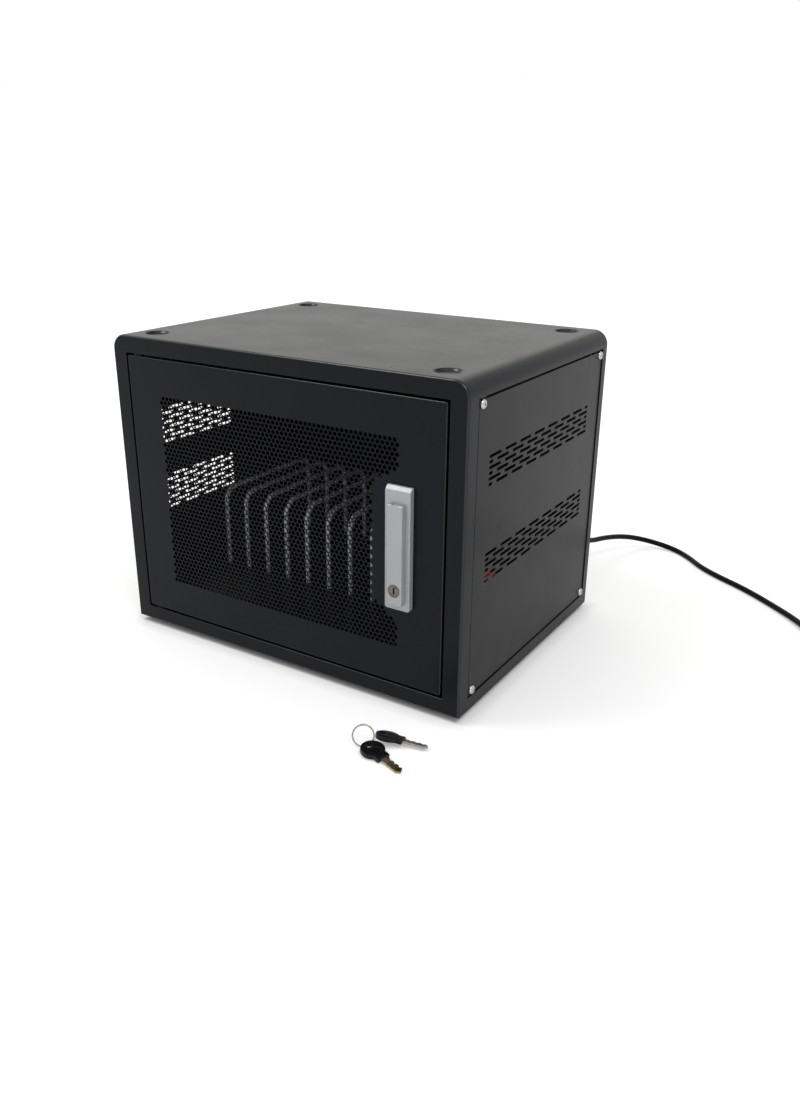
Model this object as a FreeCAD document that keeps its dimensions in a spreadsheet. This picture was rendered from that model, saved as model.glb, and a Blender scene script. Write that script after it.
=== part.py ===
import FreeCAD
import Part
import Sketcher
import math
import os
from types import SimpleNamespace

# A desk-top charging cabinet for tablets: a folded sheet-steel casing with a
# perforated, lockable front door, slotted side panels, a rack of wire dividers
# on a tray, a USB charging unit on the right-hand side and a mains lead.
# Millimetres. +Z is up, the door faces -Y and +X is to the right of someone
# facing the door. The origin lies on the floor, under the middle of the casing.

Vector = FreeCAD.Vector
Rotation = FreeCAD.Rotation
Placement = FreeCAD.Placement

# Places for tablets, side by side on the tray.
SLOT_COUNT = 10

# Driving dimensions, one cell of the sheet each.
DIMENSIONS = {
    # Casing
    "casing_width": 404,
    "casing_depth": 306,
    "casing_height": 310,
    "sheet_thickness": 1.2,
    "top_edge_radius": 15,
    "fold_radius": 2.5,
    "front_band": 18,
    "back_band": 12,
    "top_band": 17,
    "top_setback": 10,
    "base_flange": 13,
    "cut_overrun": 5,
    # Rubber feet and the dishes in the top that take the feet of a second cabinet
    "foot_height": 6,
    "foot_diameter": 24,
    "foot_taper": 1.5,
    "foot_inset_side": 35,
    "foot_inset_end": 28,
    "dish_diameter": 26,
    "dish_depth": 2.5,
    "dish_slope": 2,
    # Corner posts, side panels and their screws
    "post_thickness": 1.5,
    "post_setback": 6,
    "post_tab": 17,
    "panel_recess": 1,
    "panel_seam": 0.9,
    "screw_inset_end": 7.5,
    "screw_inset_edge": 6,
    "screw_head_diameter": 10,
    "screw_head_height": 2.8,
    "screw_shank_diameter": 5,
    "screw_length": 8,
    "screw_clearance": 0.2,
    # Side vents: long, low fields beside the charging unit, short, tall ones on the left
    "vent_slot_length": 22.5,
    "vent_slot_height": 2.8,
    "vent_land": 8,
    "vent_row_pitch": 5.1,
    "vent_inset": 25,
    "upper_vent_drop": 85,
    "lower_vent_height": 134,
    "left_vent_inset": 18,
    "left_vent_run": 130,
    "left_upper_vent_drop": 106,
    "left_lower_vent_height": 129.5,
    # Door and its frame
    "bezel_side": 17.2,
    "bezel_top": 17,
    "bezel_bottom": 16,
    "door_gap": 2.2,
    "jamb_depth": 16,
    "door_fold_depth": 12,
    "door_lip": 8,
    # Perforated field of the door
    "field_left": 40,
    "field_right": 44,
    "field_top": 36,
    "field_bottom": 37,
    "field_pitch": 15,
    "field_hole": 12,
    "notch_width": 27.5,
    "notch_margin": 2,
    "notch_slant": 17,
    # Pivot hinges
    "pivot_inset": 12,
    "pivot_setback": 6,
    "pivot_pin_diameter": 5,
    "pivot_block_width": 20,
    "pivot_block_depth": 10,
    "pivot_block_height": 8,
    "bush_diameter": 9,
    "bush_flange_diameter": 12,
    "bush_flange": 1.8,
    "bush_spigot": 3,
    "running_clearance": 0.05,
    # Swing handle
    "handle_width": 26,
    "handle_height": 116,
    "handle_proud": 5.8,
    "handle_inset": 43.6,
    "handle_slope": 3.6,
    "handle_corner": 2.5,
    "handle_screw_inset": 9,
    "handle_screw_drop": 15,
    "handle_screw_diameter": 4,
    "handle_screw_head": 7.5,
    "handle_screw_head_height": 2.4,
    "handle_screw_bite": 4,
    "lever_width": 16,
    "lever_length": 95,
    "lever_thickness": 5,
    "lever_gap": 0.3,
    "lever_margin": 6,
    "lever_edge": 1,
    "lever_skin": 0.6,
    "hub_diameter": 13,
    "hub_tongue": 6,
    "tongue_eye_diameter": 3.4,
    "tongue_clearance": 0.4,
    "lever_pin_diameter": 2,
    "spindle_diameter": 8,
    "lock_diameter": 12.6,
    "lock_flange_diameter": 14,
    "lock_flange": 1,
    "lock_inset": 14.5,
    "keyhole_length": 6.5,
    "keyhole_width": 1.6,
    "keyhole_depth": 3,
    # Latch cam and strike
    "cam_thickness": 2.5,
    "cam_width": 14,
    "cam_reach": 43,
    "cam_clearance": 0.5,
    "cam_nut_width": 13,
    "cam_nut_height": 4,
    "strike_thickness": 1.5,
    "strike_lip": 8,
    "strike_lap": 10,
    "strike_height": 50,
    # Tray
    "tray_height": 46,
    "tray_thickness": 1.5,
    "tray_side_gap": 5,
    "tray_front": 21,
    "tray_nose": 5,
    "tray_nose_inset_left": 47,
    "tray_nose_inset_right": 22,
    "tray_hem": 9,
    "tray_back": 18,
    "tray_wall_inset": 8,
    # Wire dividers
    "wire_diameter": 4,
    "divider_setback": 91,
    "divider_back": 65,
    "divider_height": 86.5,
    "divider_bend": 16,
    "rack_inset": 28.2,
    "lead_room": 34.3,
    # Charging unit
    "charger_side_gap": 5,
    "charger_width": 57,
    "charger_length": 220,
    "charger_height": 58,
    "charger_edge": 2,
    "cover_thickness": 5,
    "cover_overhang": 1,
    "port_pitch": 20,
    "strip_margin": 8,
    "port_width": 13.2,
    "port_height": 5.8,
    "port_depth": 9,
    "strip_wall": 4,
    "strip_proud": 1.5,
    "strip_floor": 2,
    # Rocker switch
    "rocker_inset_side": 16,
    "rocker_inset_end": 46,
    "rocker_width": 12,
    "rocker_length": 18,
    "rocker_rise": 2.4,
    "rocker_pin_diameter": 3,
    "bezel_wall": 1.6,
    "bezel_rim": 2,
    "bezel_rim_height": 1.2,
    "bezel_well_depth": 13,
    "rocker_clearance": 0.4,
    # Cable entry
    "gland_inset": 52,
    "gland_height": 62,
    "gland_diameter": 15,
    "gland_flange_diameter": 22,
    "gland_flange": 3,
    "gland_nut_diameter": 21,
    "gland_nut_height": 5,
    "relief_length": 37,
    "relief_tip_diameter": 10,
    # Mains lead, its coil and its plug
    "cord_diameter": 6.6,
    "coil_radius": 46.3,
    "coil_pitch": 7.2,
    "coil_lift": 1.5,
    "tie_width": 8,
    "tie_thickness": 1,
    "tie_slack": 0.4,
    "plug_gap": 62,
    "plug_tip_diameter": 11,
    "plug_neck_diameter": 24,
    "plug_diameter": 38,
    "plug_neck_length": 20,
    "plug_length": 46,
    "plug_rim": 9,
    "plug_pin_diameter": 4.8,
    "plug_pin_length": 19,
    "plug_pin_spacing": 19,
    # Keys
    "key_bow_diameter": 22,
    "key_bow_thickness": 4.6,
    "key_neck_width": 13,
    "key_neck_length": 15,
    "key_hole_diameter": 6,
    "key_hole_inset": 6,
    "key_blade_width": 7.5,
    "key_blade_thickness": 2,
    "key_blade_length": 23,
    "key_tip": 3,
    "key_notch_depth": 1.6,
    "key_notch_width": 3,
    "key_fit": 0.1,
    "near_key_x": 162,
    "near_key_y": -233,
    "far_key_x": 163,
    "far_key_y": -211,
    "ring_diameter": 19,
    "ring_wire": 1.4,
    "ring_x": 147.3,
    "ring_y": -225.5,
}

# Counts and angles
VENT_ROWS = 6
LEFT_VENT_ROWS = 8
HEX_SIDES = 6
NEAR_KEY_TURN, NEAR_KEY_DIP, NEAR_KEY_TILT = -17, 5, 0
FAR_KEY_TURN, FAR_KEY_DIP, FAR_KEY_TILT = 12, 4, -18
RING_TURN, RING_LEAN = 32, 68
ROCKER_TILT = 12
COIL_SPANS_PER_TURN = 4
COIL_TURNS_WHOLE = 6

document = FreeCAD.newDocument("charging_cabinet")
sheet = document.addObject("Spreadsheet::Sheet", "Sizes")
for row, (alias, number) in enumerate(DIMENSIONS.items(), start=1):
    sheet.set(f"A{row}", alias)
    sheet.set(f"B{row}", str(number))
    sheet.setAlias(f"B{row}", alias)
document.recompute()


class Size:
    """A length that is known both as a number and as a formula on the sheet."""

    def __init__(self, number, formula):
        self.number = float(number)
        self.formula = formula

    def __add__(self, other):
        other = as_size(other)
        return Size(self.number + other.number, f"({self.formula} + {other.formula})")

    def __sub__(self, other):
        other = as_size(other)
        return Size(self.number - other.number, f"({self.formula} - {other.formula})")

    def __mul__(self, factor):
        factor = as_size(factor)
        return Size(self.number * factor.number, f"({self.formula} * {factor.formula})")

    def __truediv__(self, factor):
        factor = as_size(factor)
        return Size(self.number / factor.number, f"({self.formula} / {factor.formula})")

    def __neg__(self):
        return Size(-self.number, f"(-{self.formula})")

    def __radd__(self, other):
        return as_size(other) + self

    def __rmul__(self, factor):
        return self * factor

    def __float__(self):
        return self.number


def as_size(value):
    return value if isinstance(value, Size) else Size(value, f"({float(value)!r})")


s = SimpleNamespace(**{alias: Size(sheet.get(alias), f"Sizes.{alias}") for alias in DIMENSIONS})

# Planes that most pieces are measured from
LEFT, RIGHT = -s.casing_width / 2, s.casing_width / 2
FRONT, BACK = -s.casing_depth / 2, s.casing_depth / 2
BOTTOM, TOP = s.foot_height, s.foot_height + s.casing_height
OPENING_LEFT, OPENING_RIGHT = LEFT + s.bezel_side, RIGHT - s.bezel_side
OPENING_BOTTOM, OPENING_TOP = BOTTOM + s.bezel_bottom, TOP - s.bezel_top
DOOR_LEFT, DOOR_RIGHT = OPENING_LEFT + s.door_gap, OPENING_RIGHT - s.door_gap
DOOR_BOTTOM, DOOR_TOP = OPENING_BOTTOM + s.door_gap, OPENING_TOP - s.door_gap
DOOR_REAR = FRONT + s.sheet_thickness + s.door_fold_depth
PIVOT_X, PIVOT_Y = DOOR_LEFT + s.pivot_inset, FRONT + s.pivot_setback
HANDLE_X, HANDLE_Z = DOOR_RIGHT - s.handle_inset, (DOOR_BOTTOM + DOOR_TOP) / 2
HANDLE_FACE = FRONT - s.handle_proud
LEVER_BOTTOM = HANDLE_Z - s.handle_height / 2 + s.lever_margin
LEVER_REAR = HANDLE_FACE - s.lever_gap
LEVER_FACE = LEVER_REAR - s.lever_thickness
LEVER_TOP = LEVER_BOTTOM + s.lever_length
SPINDLE_Y, SPINDLE_Z = LEVER_REAR - s.lever_thickness / 2, LEVER_TOP - s.lever_thickness / 2
STRIKE_FACE = FRONT + s.jamb_depth + s.strike_thickness
CAM_FACE = STRIKE_FACE + s.cam_clearance
TRAY_TOP = BOTTOM + s.tray_height
CHARGER_RIGHT = RIGHT - s.charger_side_gap
CHARGER_LEFT = CHARGER_RIGHT - s.charger_width
CHARGER_FRONT, CHARGER_REAR = -s.charger_length / 2, s.charger_length / 2
CHARGER_TOP = TRAY_TOP + s.charger_height
COVER_BOTTOM = CHARGER_TOP - s.cover_thickness
GLAND_X, GLAND_Z = RIGHT - s.gland_inset, BOTTOM + s.gland_height


# Building blocks

def bind(item, **sizes):
    for name, size in sizes.items():
        item.setExpression(name, as_size(size).formula)
    return item


def place(item, x=0, y=0, z=0):
    for axis, size in (("x", x), ("y", y), ("z", z)):
        item.setExpression(f"Placement.Base.{axis}", as_size(size).formula)
    return item


def box(name, x, y, z):
    """A block between two planes along each axis."""
    block = document.addObject("Part::Box", name)
    bind(block, Length=x[1] - x[0], Width=y[1] - y[0], Height=z[1] - z[0])
    return place(block, x[0], y[0], z[0])


TURN_FROM_Z = {
    "X": Rotation(Vector(0, 1, 0), 90),
    "Y": Rotation(Vector(1, 0, 0), -90),
    "Z": Rotation(),
}


def cylinder(name, axis, radius, start, length):
    """A round bar from a start point along one axis."""
    bar = document.addObject("Part::Cylinder", name)
    bar.Placement = Placement(Vector(), TURN_FROM_Z[axis])
    bind(bar, Radius=radius, Height=length)
    return place(bar, *start)


def prism(name, axis, circumradius, start, length):
    """A hexagonal bar from a start point along one axis."""
    bar = document.addObject("Part::Prism", name)
    bar.Polygon = HEX_SIDES
    bar.Placement = Placement(Vector(), TURN_FROM_Z[axis])
    bind(bar, Circumradius=circumradius, Height=length)
    return place(bar, *start)


def cone(name, low_radius, high_radius, start, length):
    frustum = document.addObject("Part::Cone", name)
    bind(frustum, Radius1=low_radius, Radius2=high_radius, Height=length)
    return place(frustum, *start)


def fuse(name, *pieces):
    union = document.addObject("Part::MultiFuse", name)
    union.Shapes = list(pieces)
    union.Refine = True
    return union


def group(name, pieces):
    """Separate solids that share one node."""
    bundle = document.addObject("Part::Compound", name)
    bundle.Links = list(pieces)
    return bundle


def cut(name, base, *tools):
    difference = document.addObject("Part::Cut", name)
    difference.Base = base
    difference.Tool = tools[0] if len(tools) == 1 else fuse(f"{name}_tools", *tools)
    return difference


def part_body(name):
    return document.addObject("PartDesign::Body", name)


def sketch_at(body, plane, offset):
    """A sketch on one of the body's own origin planes, moved along its normal."""
    sketch = body.newObject("Sketcher::SketchObject", f"{body.Name}_sketch")
    origin = [item for item in body.Origin.OriginFeatures if item.Role == f"{plane}_Plane"]
    sketch.AttachmentSupport = [(origin[0], "")]
    sketch.MapMode = "FlatFace"
    sketch.setExpression("AttachmentOffset.Base.z", as_size(offset).formula)
    return sketch


def pin_point(sketch, curve, point, across, up):
    """Hold a point of the sketch at its two sizes from the sketch's origin."""
    for kind, axis, size in (("DistanceX", -2, as_size(across)), ("DistanceY", -1, as_size(up))):
        if size.number == 0:
            sketch.addConstraint(Sketcher.Constraint("PointOnObject", curve, point, axis))
            continue
        ends = (-1, 1, curve, point) if size.number > 0 else (curve, point, -1, 1)
        length = size if size.number > 0 else -size
        index = sketch.addConstraint(Sketcher.Constraint(kind, *ends, length.number))
        sketch.setExpression(f"Constraints[{index}]", length.formula)


def draw_polygon(sketch, points):
    first = sketch.GeometryCount
    corners = [Vector(float(across), float(up), 0) for across, up in points]
    count = len(corners)
    for index in range(count):
        sketch.addGeometry(Part.LineSegment(corners[index], corners[(index + 1) % count]), False)
    for index in range(count):
        following = first + (index + 1) % count
        sketch.addConstraint(Sketcher.Constraint("Coincident", first + index, 2, following, 1))
    for index, (across, up) in enumerate(points):
        pin_point(sketch, first + index, 1, across, up)


def draw_circle(sketch, centre, radius):
    index = sketch.addGeometry(
        Part.Circle(Vector(float(centre[0]), float(centre[1]), 0), Vector(0, 0, 1), float(radius)), False)
    pin_point(sketch, index, 3, *centre)
    constraint = sketch.addConstraint(Sketcher.Constraint("Radius", index, float(radius)))
    sketch.setExpression(f"Constraints[{constraint}]", as_size(radius).formula)


def rectangle(left, right, bottom, top):
    return [(left, bottom), (right, bottom), (right, top), (left, top)]


def extrude(body, kind, plane, span, polygons=(), circles=()):
    """A Pad or a Pocket of a sketch between two planes across its own plane."""
    low, high = span
    faces_back = plane == "XZ"
    start = low if (kind == "Pad") != faces_back else high
    sketch = sketch_at(body, plane, -start if faces_back else start)
    for points in polygons:
        draw_polygon(sketch, points)
    for centre, radius in circles:
        draw_circle(sketch, centre, radius)
    feature = body.newObject(f"PartDesign::{kind}", f"{body.Name}_{kind.lower()}")
    feature.Profile = sketch
    bind(feature, Length=high - low)
    document.recompute()
    return feature


def revolve(body, profile):
    """A solid of revolution about Z from a profile of radius and height."""
    sketch = sketch_at(body, "XZ", 0)
    draw_polygon(sketch, profile)
    feature = body.newObject("PartDesign::Revolution", f"{body.Name}_revolution")
    feature.Profile = sketch
    feature.ReferenceAxis = (sketch, ["V_Axis"])
    feature.Angle = 360
    document.recompute()
    return feature


def dress(body, kind, radius, chosen):
    """A Fillet or Chamfer on the edges of the body's tip that the test chooses."""
    base = body.Tip
    names = [f"Edge{index}" for index, edge in enumerate(base.Shape.Edges, start=1) if chosen(edge)]
    feature = body.newObject(f"PartDesign::{kind}", f"{body.Name}_{kind.lower()}")
    feature.Base = (base, names)
    bind(feature, **{"Radius" if kind == "Fillet" else "Size": radius})
    document.recompute()
    return feature


TOLERANCE_SHARE = 1e-5
TOLERANCE = TOLERANCE_SHARE * s.casing_width.number


def at(edge, **planes):
    """True where the whole edge lies in the given planes, such as x=RIGHT."""
    ends = edge.BoundBox
    for axis, size in planes.items():
        low, high = getattr(ends, f"{axis.upper()}Min"), getattr(ends, f"{axis.upper()}Max")
        if abs(low - float(size)) > TOLERANCE or abs(high - float(size)) > TOLERANCE:
            return False
    return True


def feature_of(name, shape):
    item = document.addObject("Part::Feature", name)
    item.Shape = shape
    return item


def polygon_wire(points):
    return Part.makePolygon([*points, points[0]])


def hexagon(centre, width):
    """A wire of six sides, width across its corners, flat on the XZ plane."""
    corners = []
    for side in range(HEX_SIDES):
        turn = 2 * math.pi * side / HEX_SIDES
        corners.append(centre + Vector(math.sin(turn), 0, math.cos(turn)) * (width / 2))
    return polygon_wire(corners)


def disc_wire(centre, axis, radius):
    return Part.Wire(Part.makeCircle(float(radius), centre, axis))


def punched(outline, holes, through):
    """A flat sheet with holes punched through it."""
    return Part.makeFace([outline, *holes], "Part::FaceMakerBullseye").extrude(through)


# Casing: two folded tubs, front and rear, with a top and a base between them

MIDDLE = (FRONT + s.front_band, BACK - s.back_band)
SKIRT = TOP - s.top_band
TOP_INNER = TOP - s.sheet_thickness


def make_tub(name, span, open_face, fold_face):
    """A shallow box of the casing's outline, hollow from its open side."""
    body = part_body(name)
    extrude(body, "Pad", "XZ", span, [rectangle(LEFT, RIGHT, BOTTOM, TOP)])
    dress(body, "Fillet", s.top_edge_radius,
          lambda edge: at(edge, z=TOP) and (at(edge, x=LEFT) or at(edge, x=RIGHT)))
    dress(body, "Fillet", s.fold_radius, lambda edge: at(edge, y=fold_face))
    base = body.Tip
    faces = base.Shape.Faces
    chosen = [f"Face{number}" for number, face in enumerate(faces, start=1) if at(face, y=open_face)]
    shell = body.newObject("PartDesign::Thickness", f"{name}_shell")
    shell.Base = (base, chosen)
    shell.Reversed = True
    bind(shell, Value=s.sheet_thickness)
    document.recompute()
    return body


front_frame = make_tub("front_frame", (FRONT, FRONT + s.front_band), FRONT + s.front_band, FRONT)
opening = rectangle(OPENING_LEFT, OPENING_RIGHT, OPENING_BOTTOM, OPENING_TOP)
jamb = rectangle(OPENING_LEFT - s.sheet_thickness, OPENING_RIGHT + s.sheet_thickness,
                 OPENING_BOTTOM - s.sheet_thickness, OPENING_TOP + s.sheet_thickness)
extrude(front_frame, "Pocket", "XZ", (FRONT - s.cut_overrun, FRONT + s.sheet_thickness), [opening])
extrude(front_frame, "Pad", "XZ", (FRONT + s.sheet_thickness / 2, FRONT + s.jamb_depth), [opening, jamb])
extrude(front_frame, "Pocket", "XY", (SKIRT, TOP + s.cut_overrun), [rectangle(
    LEFT - s.cut_overrun, RIGHT + s.cut_overrun, FRONT + s.top_setback, MIDDLE[0] + s.cut_overrun)])
bush_hole = [((PIVOT_X, PIVOT_Y), s.bush_diameter / 2 + s.running_clearance)]
extrude(front_frame, "Pocket", "XY", (OPENING_TOP, OPENING_TOP + s.sheet_thickness), circles=bush_hole)
extrude(front_frame, "Pocket", "XY", (OPENING_BOTTOM - s.sheet_thickness, OPENING_BOTTOM), circles=bush_hole)

back_panel = make_tub("back_panel", (BACK - s.back_band, BACK), BACK - s.back_band, BACK)
extrude(back_panel, "Pocket", "XZ", (BACK - s.sheet_thickness, BACK),
        circles=[((GLAND_X, GLAND_Z), s.gland_diameter / 2 + s.running_clearance)])

top_skin = part_body("top_skin")
extrude(top_skin, "Pad", "XZ", (FRONT + s.top_setback, MIDDLE[1]), [[
    (LEFT, SKIRT), (LEFT + s.sheet_thickness, SKIRT), (LEFT + s.sheet_thickness, TOP_INNER),
    (RIGHT - s.sheet_thickness, TOP_INNER), (RIGHT - s.sheet_thickness, SKIRT), (RIGHT, SKIRT),
    (RIGHT, TOP), (LEFT, TOP)]])
dress(top_skin, "Fillet", s.top_edge_radius,
      lambda edge: at(edge, z=TOP) and (at(edge, x=LEFT) or at(edge, x=RIGHT)))
dress(top_skin, "Fillet", s.top_edge_radius - s.sheet_thickness,
      lambda edge: at(edge, z=TOP_INNER) and (
          at(edge, x=LEFT + s.sheet_thickness) or at(edge, x=RIGHT - s.sheet_thickness)))

FOOT_PLACES = [(side * (s.casing_width / 2 - s.foot_inset_side), end * (s.casing_depth / 2 - s.foot_inset_end))
               for side in (-1, 1) for end in (-1, 1)]
dish_cups = []
dish_hollows = []
for number, (x, y) in enumerate(FOOT_PLACES, start=1):
    rim = s.dish_diameter / 2
    floor = rim - s.dish_slope
    floor_height = TOP - s.dish_depth
    dish_cups.append(cone(f"dish_cup_{number}", floor, rim + s.sheet_thickness,
                          (x, y, floor_height - s.sheet_thickness), s.dish_depth + s.sheet_thickness))
    dish_hollows.append(cone(f"dish_hollow_{number}", floor, rim, (x, y, floor_height), s.dish_depth))
top_cover = cut("top_cover", fuse("top_with_cups", top_skin, *dish_cups), *dish_hollows)

base_pan = part_body("base_pan")
BASE_TOP = BOTTOM + s.sheet_thickness
extrude(base_pan, "Pad", "XZ", MIDDLE, [[
    (LEFT, BOTTOM), (RIGHT, BOTTOM), (RIGHT, BOTTOM + s.base_flange),
    (RIGHT - s.sheet_thickness, BOTTOM + s.base_flange), (RIGHT - s.sheet_thickness, BASE_TOP),
    (LEFT + s.sheet_thickness, BASE_TOP), (LEFT + s.sheet_thickness, BOTTOM + s.base_flange),
    (LEFT, BOTTOM + s.base_flange)]])

# Corner posts: joggled strips that tie the tubs together and carry the side panels

PANEL_INNER = s.casing_width / 2 - s.panel_recess - s.sheet_thickness


def make_post(name, side, end, band):
    wall = s.casing_width / 2 - s.sheet_thickness
    edge = s.casing_depth / 2 - band
    lap = band - s.post_setback
    profile = [
        (wall, edge + lap), (wall, edge), (PANEL_INNER, edge), (PANEL_INNER, edge - s.post_tab),
        (PANEL_INNER - s.post_thickness, edge - s.post_tab),
        (PANEL_INNER - s.post_thickness, edge + s.post_thickness),
        (wall - s.post_thickness, edge + s.post_thickness), (wall - s.post_thickness, edge + lap)]
    body = part_body(name)
    extrude(body, "Pad", "XY", (BASE_TOP, TOP - s.top_edge_radius),
            [[(side * x, end * y) for x, y in profile]])
    return body


SCREW_ROWS = (BOTTOM + s.base_flange + s.screw_inset_edge, SKIRT - s.screw_inset_edge)
SCREW_ENDS = (MIDDLE[0] + s.screw_inset_end, MIDDLE[1] - s.screw_inset_end)
SCREW_HOLE = s.screw_shank_diameter / 2 + s.screw_clearance
POSTS = {"front_left": (-1, -1), "front_right": (1, -1), "rear_left": (-1, 1), "rear_right": (1, 1)}
corner_posts = []
for corner, (side, end) in POSTS.items():
    strip = make_post(f"post_strip_{corner}", side, end, s.front_band if end < 0 else s.back_band)
    start = (side * (s.casing_width / 2) - s.cut_overrun, SCREW_ENDS[0] if end < 0 else SCREW_ENDS[1])
    drills = [cylinder(f"post_drill_{corner}_{level}", "X", SCREW_HOLE, (*start, height), 2 * s.cut_overrun)
              for level, height in enumerate(SCREW_ROWS)]
    corner_posts.append(cut(f"corner_post_{corner}", strip, *drills))


# Side panels: flat sheets with two fields of vent slots in a brick pattern

def vent_slots(x, inset, run, row_count, middles):
    """Slot outlines of one panel in the plane at x: a field of rows round each middle height."""
    pitch = s.vent_slot_length + s.vent_land
    half_slot = pitch / 2 - s.vent_land
    start = MIDDLE[0] + inset
    slot_count = int(float(run - half_slot) / float(pitch))
    slots = []
    for middle in middles:
        for row in range(row_count):
            height = middle + s.vent_row_pitch * (row - (row_count - 1) / 2)
            shift = 0 if row % 2 else half_slot + s.vent_land
            runs = [(start + shift + pitch * slot, s.vent_slot_length) for slot in range(slot_count)]
            runs.append((start + (pitch * slot_count if row % 2 else 0), half_slot))
            for begin, length in runs:
                low, high = height - s.vent_slot_height / 2, height + s.vent_slot_height / 2
                corners = rectangle(begin, begin + length, low, high)
                slots.append(polygon_wire([Vector(float(x), float(y), float(z)) for y, z in corners]))
    return slots


def make_side_panel(name, side, inset, run, row_count, middles):
    x = side * PANEL_INNER
    edges = rectangle(MIDDLE[0] + s.panel_seam, MIDDLE[1] - s.panel_seam,
                      BOTTOM + s.base_flange + s.panel_seam, SKIRT - s.panel_seam)
    outline = polygon_wire([Vector(float(x), float(y), float(z)) for y, z in edges])
    holes = vent_slots(x, inset, run, row_count, middles)
    for y in SCREW_ENDS:
        for z in SCREW_ROWS:
            holes.append(disc_wire(Vector(float(x), float(y), float(z)), Vector(1, 0, 0), SCREW_HOLE))
    return feature_of(name, punched(outline, holes, Vector(side * float(s.sheet_thickness), 0, 0)))


side_panel_left = make_side_panel(
    "side_panel_left", -1, s.left_vent_inset, s.left_vent_run, LEFT_VENT_ROWS,
    (BOTTOM + s.left_lower_vent_height, TOP - s.left_upper_vent_drop))
side_panel_right = make_side_panel(
    "side_panel_right", 1, s.vent_inset, MIDDLE[1] - MIDDLE[0] - 2 * s.vent_inset, VENT_ROWS,
    (BOTTOM + s.lower_vent_height, TOP - s.upper_vent_drop))


HEAD_PROFILE_SHARES = ((1, 0.45), (0.82, 0.82), (0.5, 1))


def make_pan_screw(name, head_diameter, head_height, shank_diameter, length):
    """A pan-head screw along +Z, with its head above the origin."""
    body = part_body(name)
    head, shank = head_diameter / 2, shank_diameter / 2
    dome = [(head * across, head_height * up) for across, up in HEAD_PROFILE_SHARES]
    revolve(body, [(0, -length), (shank, -length), (shank, 0), (head, 0), *dome, (0, head_height)])
    return body


panel_screws = []
for side in (-1, 1):
    for y in SCREW_ENDS:
        for z in SCREW_ROWS:
            screw = make_pan_screw(f"panel_screw_{len(panel_screws) + 1}", s.screw_head_diameter,
                                   s.screw_head_height, s.screw_shank_diameter, s.screw_length)
            screw.Placement = Placement(Vector(), Rotation(Vector(0, 1, 0), side * 90))
            panel_screws.append(place(screw, side * (PANEL_INNER + s.sheet_thickness), y, z))
side_panel_screws = group("side_panel_screws", panel_screws)

feet = []
for x, y in FOOT_PLACES:
    foot = part_body(f"foot_{len(feet) + 1}")
    sole = s.foot_diameter / 2 - s.foot_taper
    revolve(foot, [(0, 0), (sole, 0), (s.foot_diameter / 2, s.foot_taper),
                   (s.foot_diameter / 2, s.foot_height), (0, s.foot_height)])
    feet.append(place(foot, x, y, 0))
rubber_feet = group("rubber_feet", feet)


# Door: a perforated sheet with a folded rim behind it, on two pivots

def field_limit(height):
    """Right-hand limit of the perforated field at a height: it steps back beside the handle."""
    right = float(DOOR_RIGHT - s.field_right)
    reach = abs(height - float(HANDLE_Z)) - float(s.handle_height / 2 - s.notch_margin)
    step = min(max(reach / float(s.notch_slant), 0), 1)
    return right - float(s.notch_width) * (1 - step)


def field_holes(y):
    """Hexagonal holes in staggered rows, drawn three times as coarse as the punched sheet."""
    left, bottom = float(DOOR_LEFT + s.field_left), float(DOOR_BOTTOM + s.field_bottom)
    top = float(DOOR_TOP - s.field_top)
    pitch, hole = float(s.field_pitch), float(s.field_hole)
    rise = pitch * math.sqrt(3) / 2
    rows = int((top - bottom - hole) / rise) + 1
    spare = (top - bottom - hole - rise * (rows - 1)) / 2
    holes = []
    for row in range(rows):
        z = bottom + spare + hole / 2 + rise * row
        x = left + hole / 2 + (pitch / 2 if row % 2 else 0)
        while x + hole / 2 <= field_limit(z):
            holes.append(hexagon(Vector(x, y, z), hole))
            x += pitch
    return holes


HUB_HOLE = s.hub_diameter / 2 + s.running_clearance
HANDLE_SCREW_ROWS = (HANDLE_Z - s.handle_height / 2 + s.handle_screw_inset, SPINDLE_Z - s.handle_screw_drop)
HANDLE_SCREW_HOLE = s.handle_screw_diameter / 2 + s.screw_clearance
door_edges = rectangle(DOOR_LEFT, DOOR_RIGHT, DOOR_BOTTOM, DOOR_TOP)
door_outline = polygon_wire([Vector(float(x), float(FRONT), float(z)) for x, z in door_edges])
door_holes = field_holes(float(FRONT))
AHEAD = Vector(0, 1, 0)
door_holes.append(disc_wire(Vector(float(HANDLE_X), float(FRONT), float(SPINDLE_Z)), AHEAD, HUB_HOLE))
for z in HANDLE_SCREW_ROWS:
    door_holes.append(disc_wire(Vector(float(HANDLE_X), float(FRONT), float(z)), AHEAD, HANDLE_SCREW_HOLE))
door_panel = feature_of("door_panel", punched(door_outline, door_holes, AHEAD * float(s.sheet_thickness)))

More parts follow.
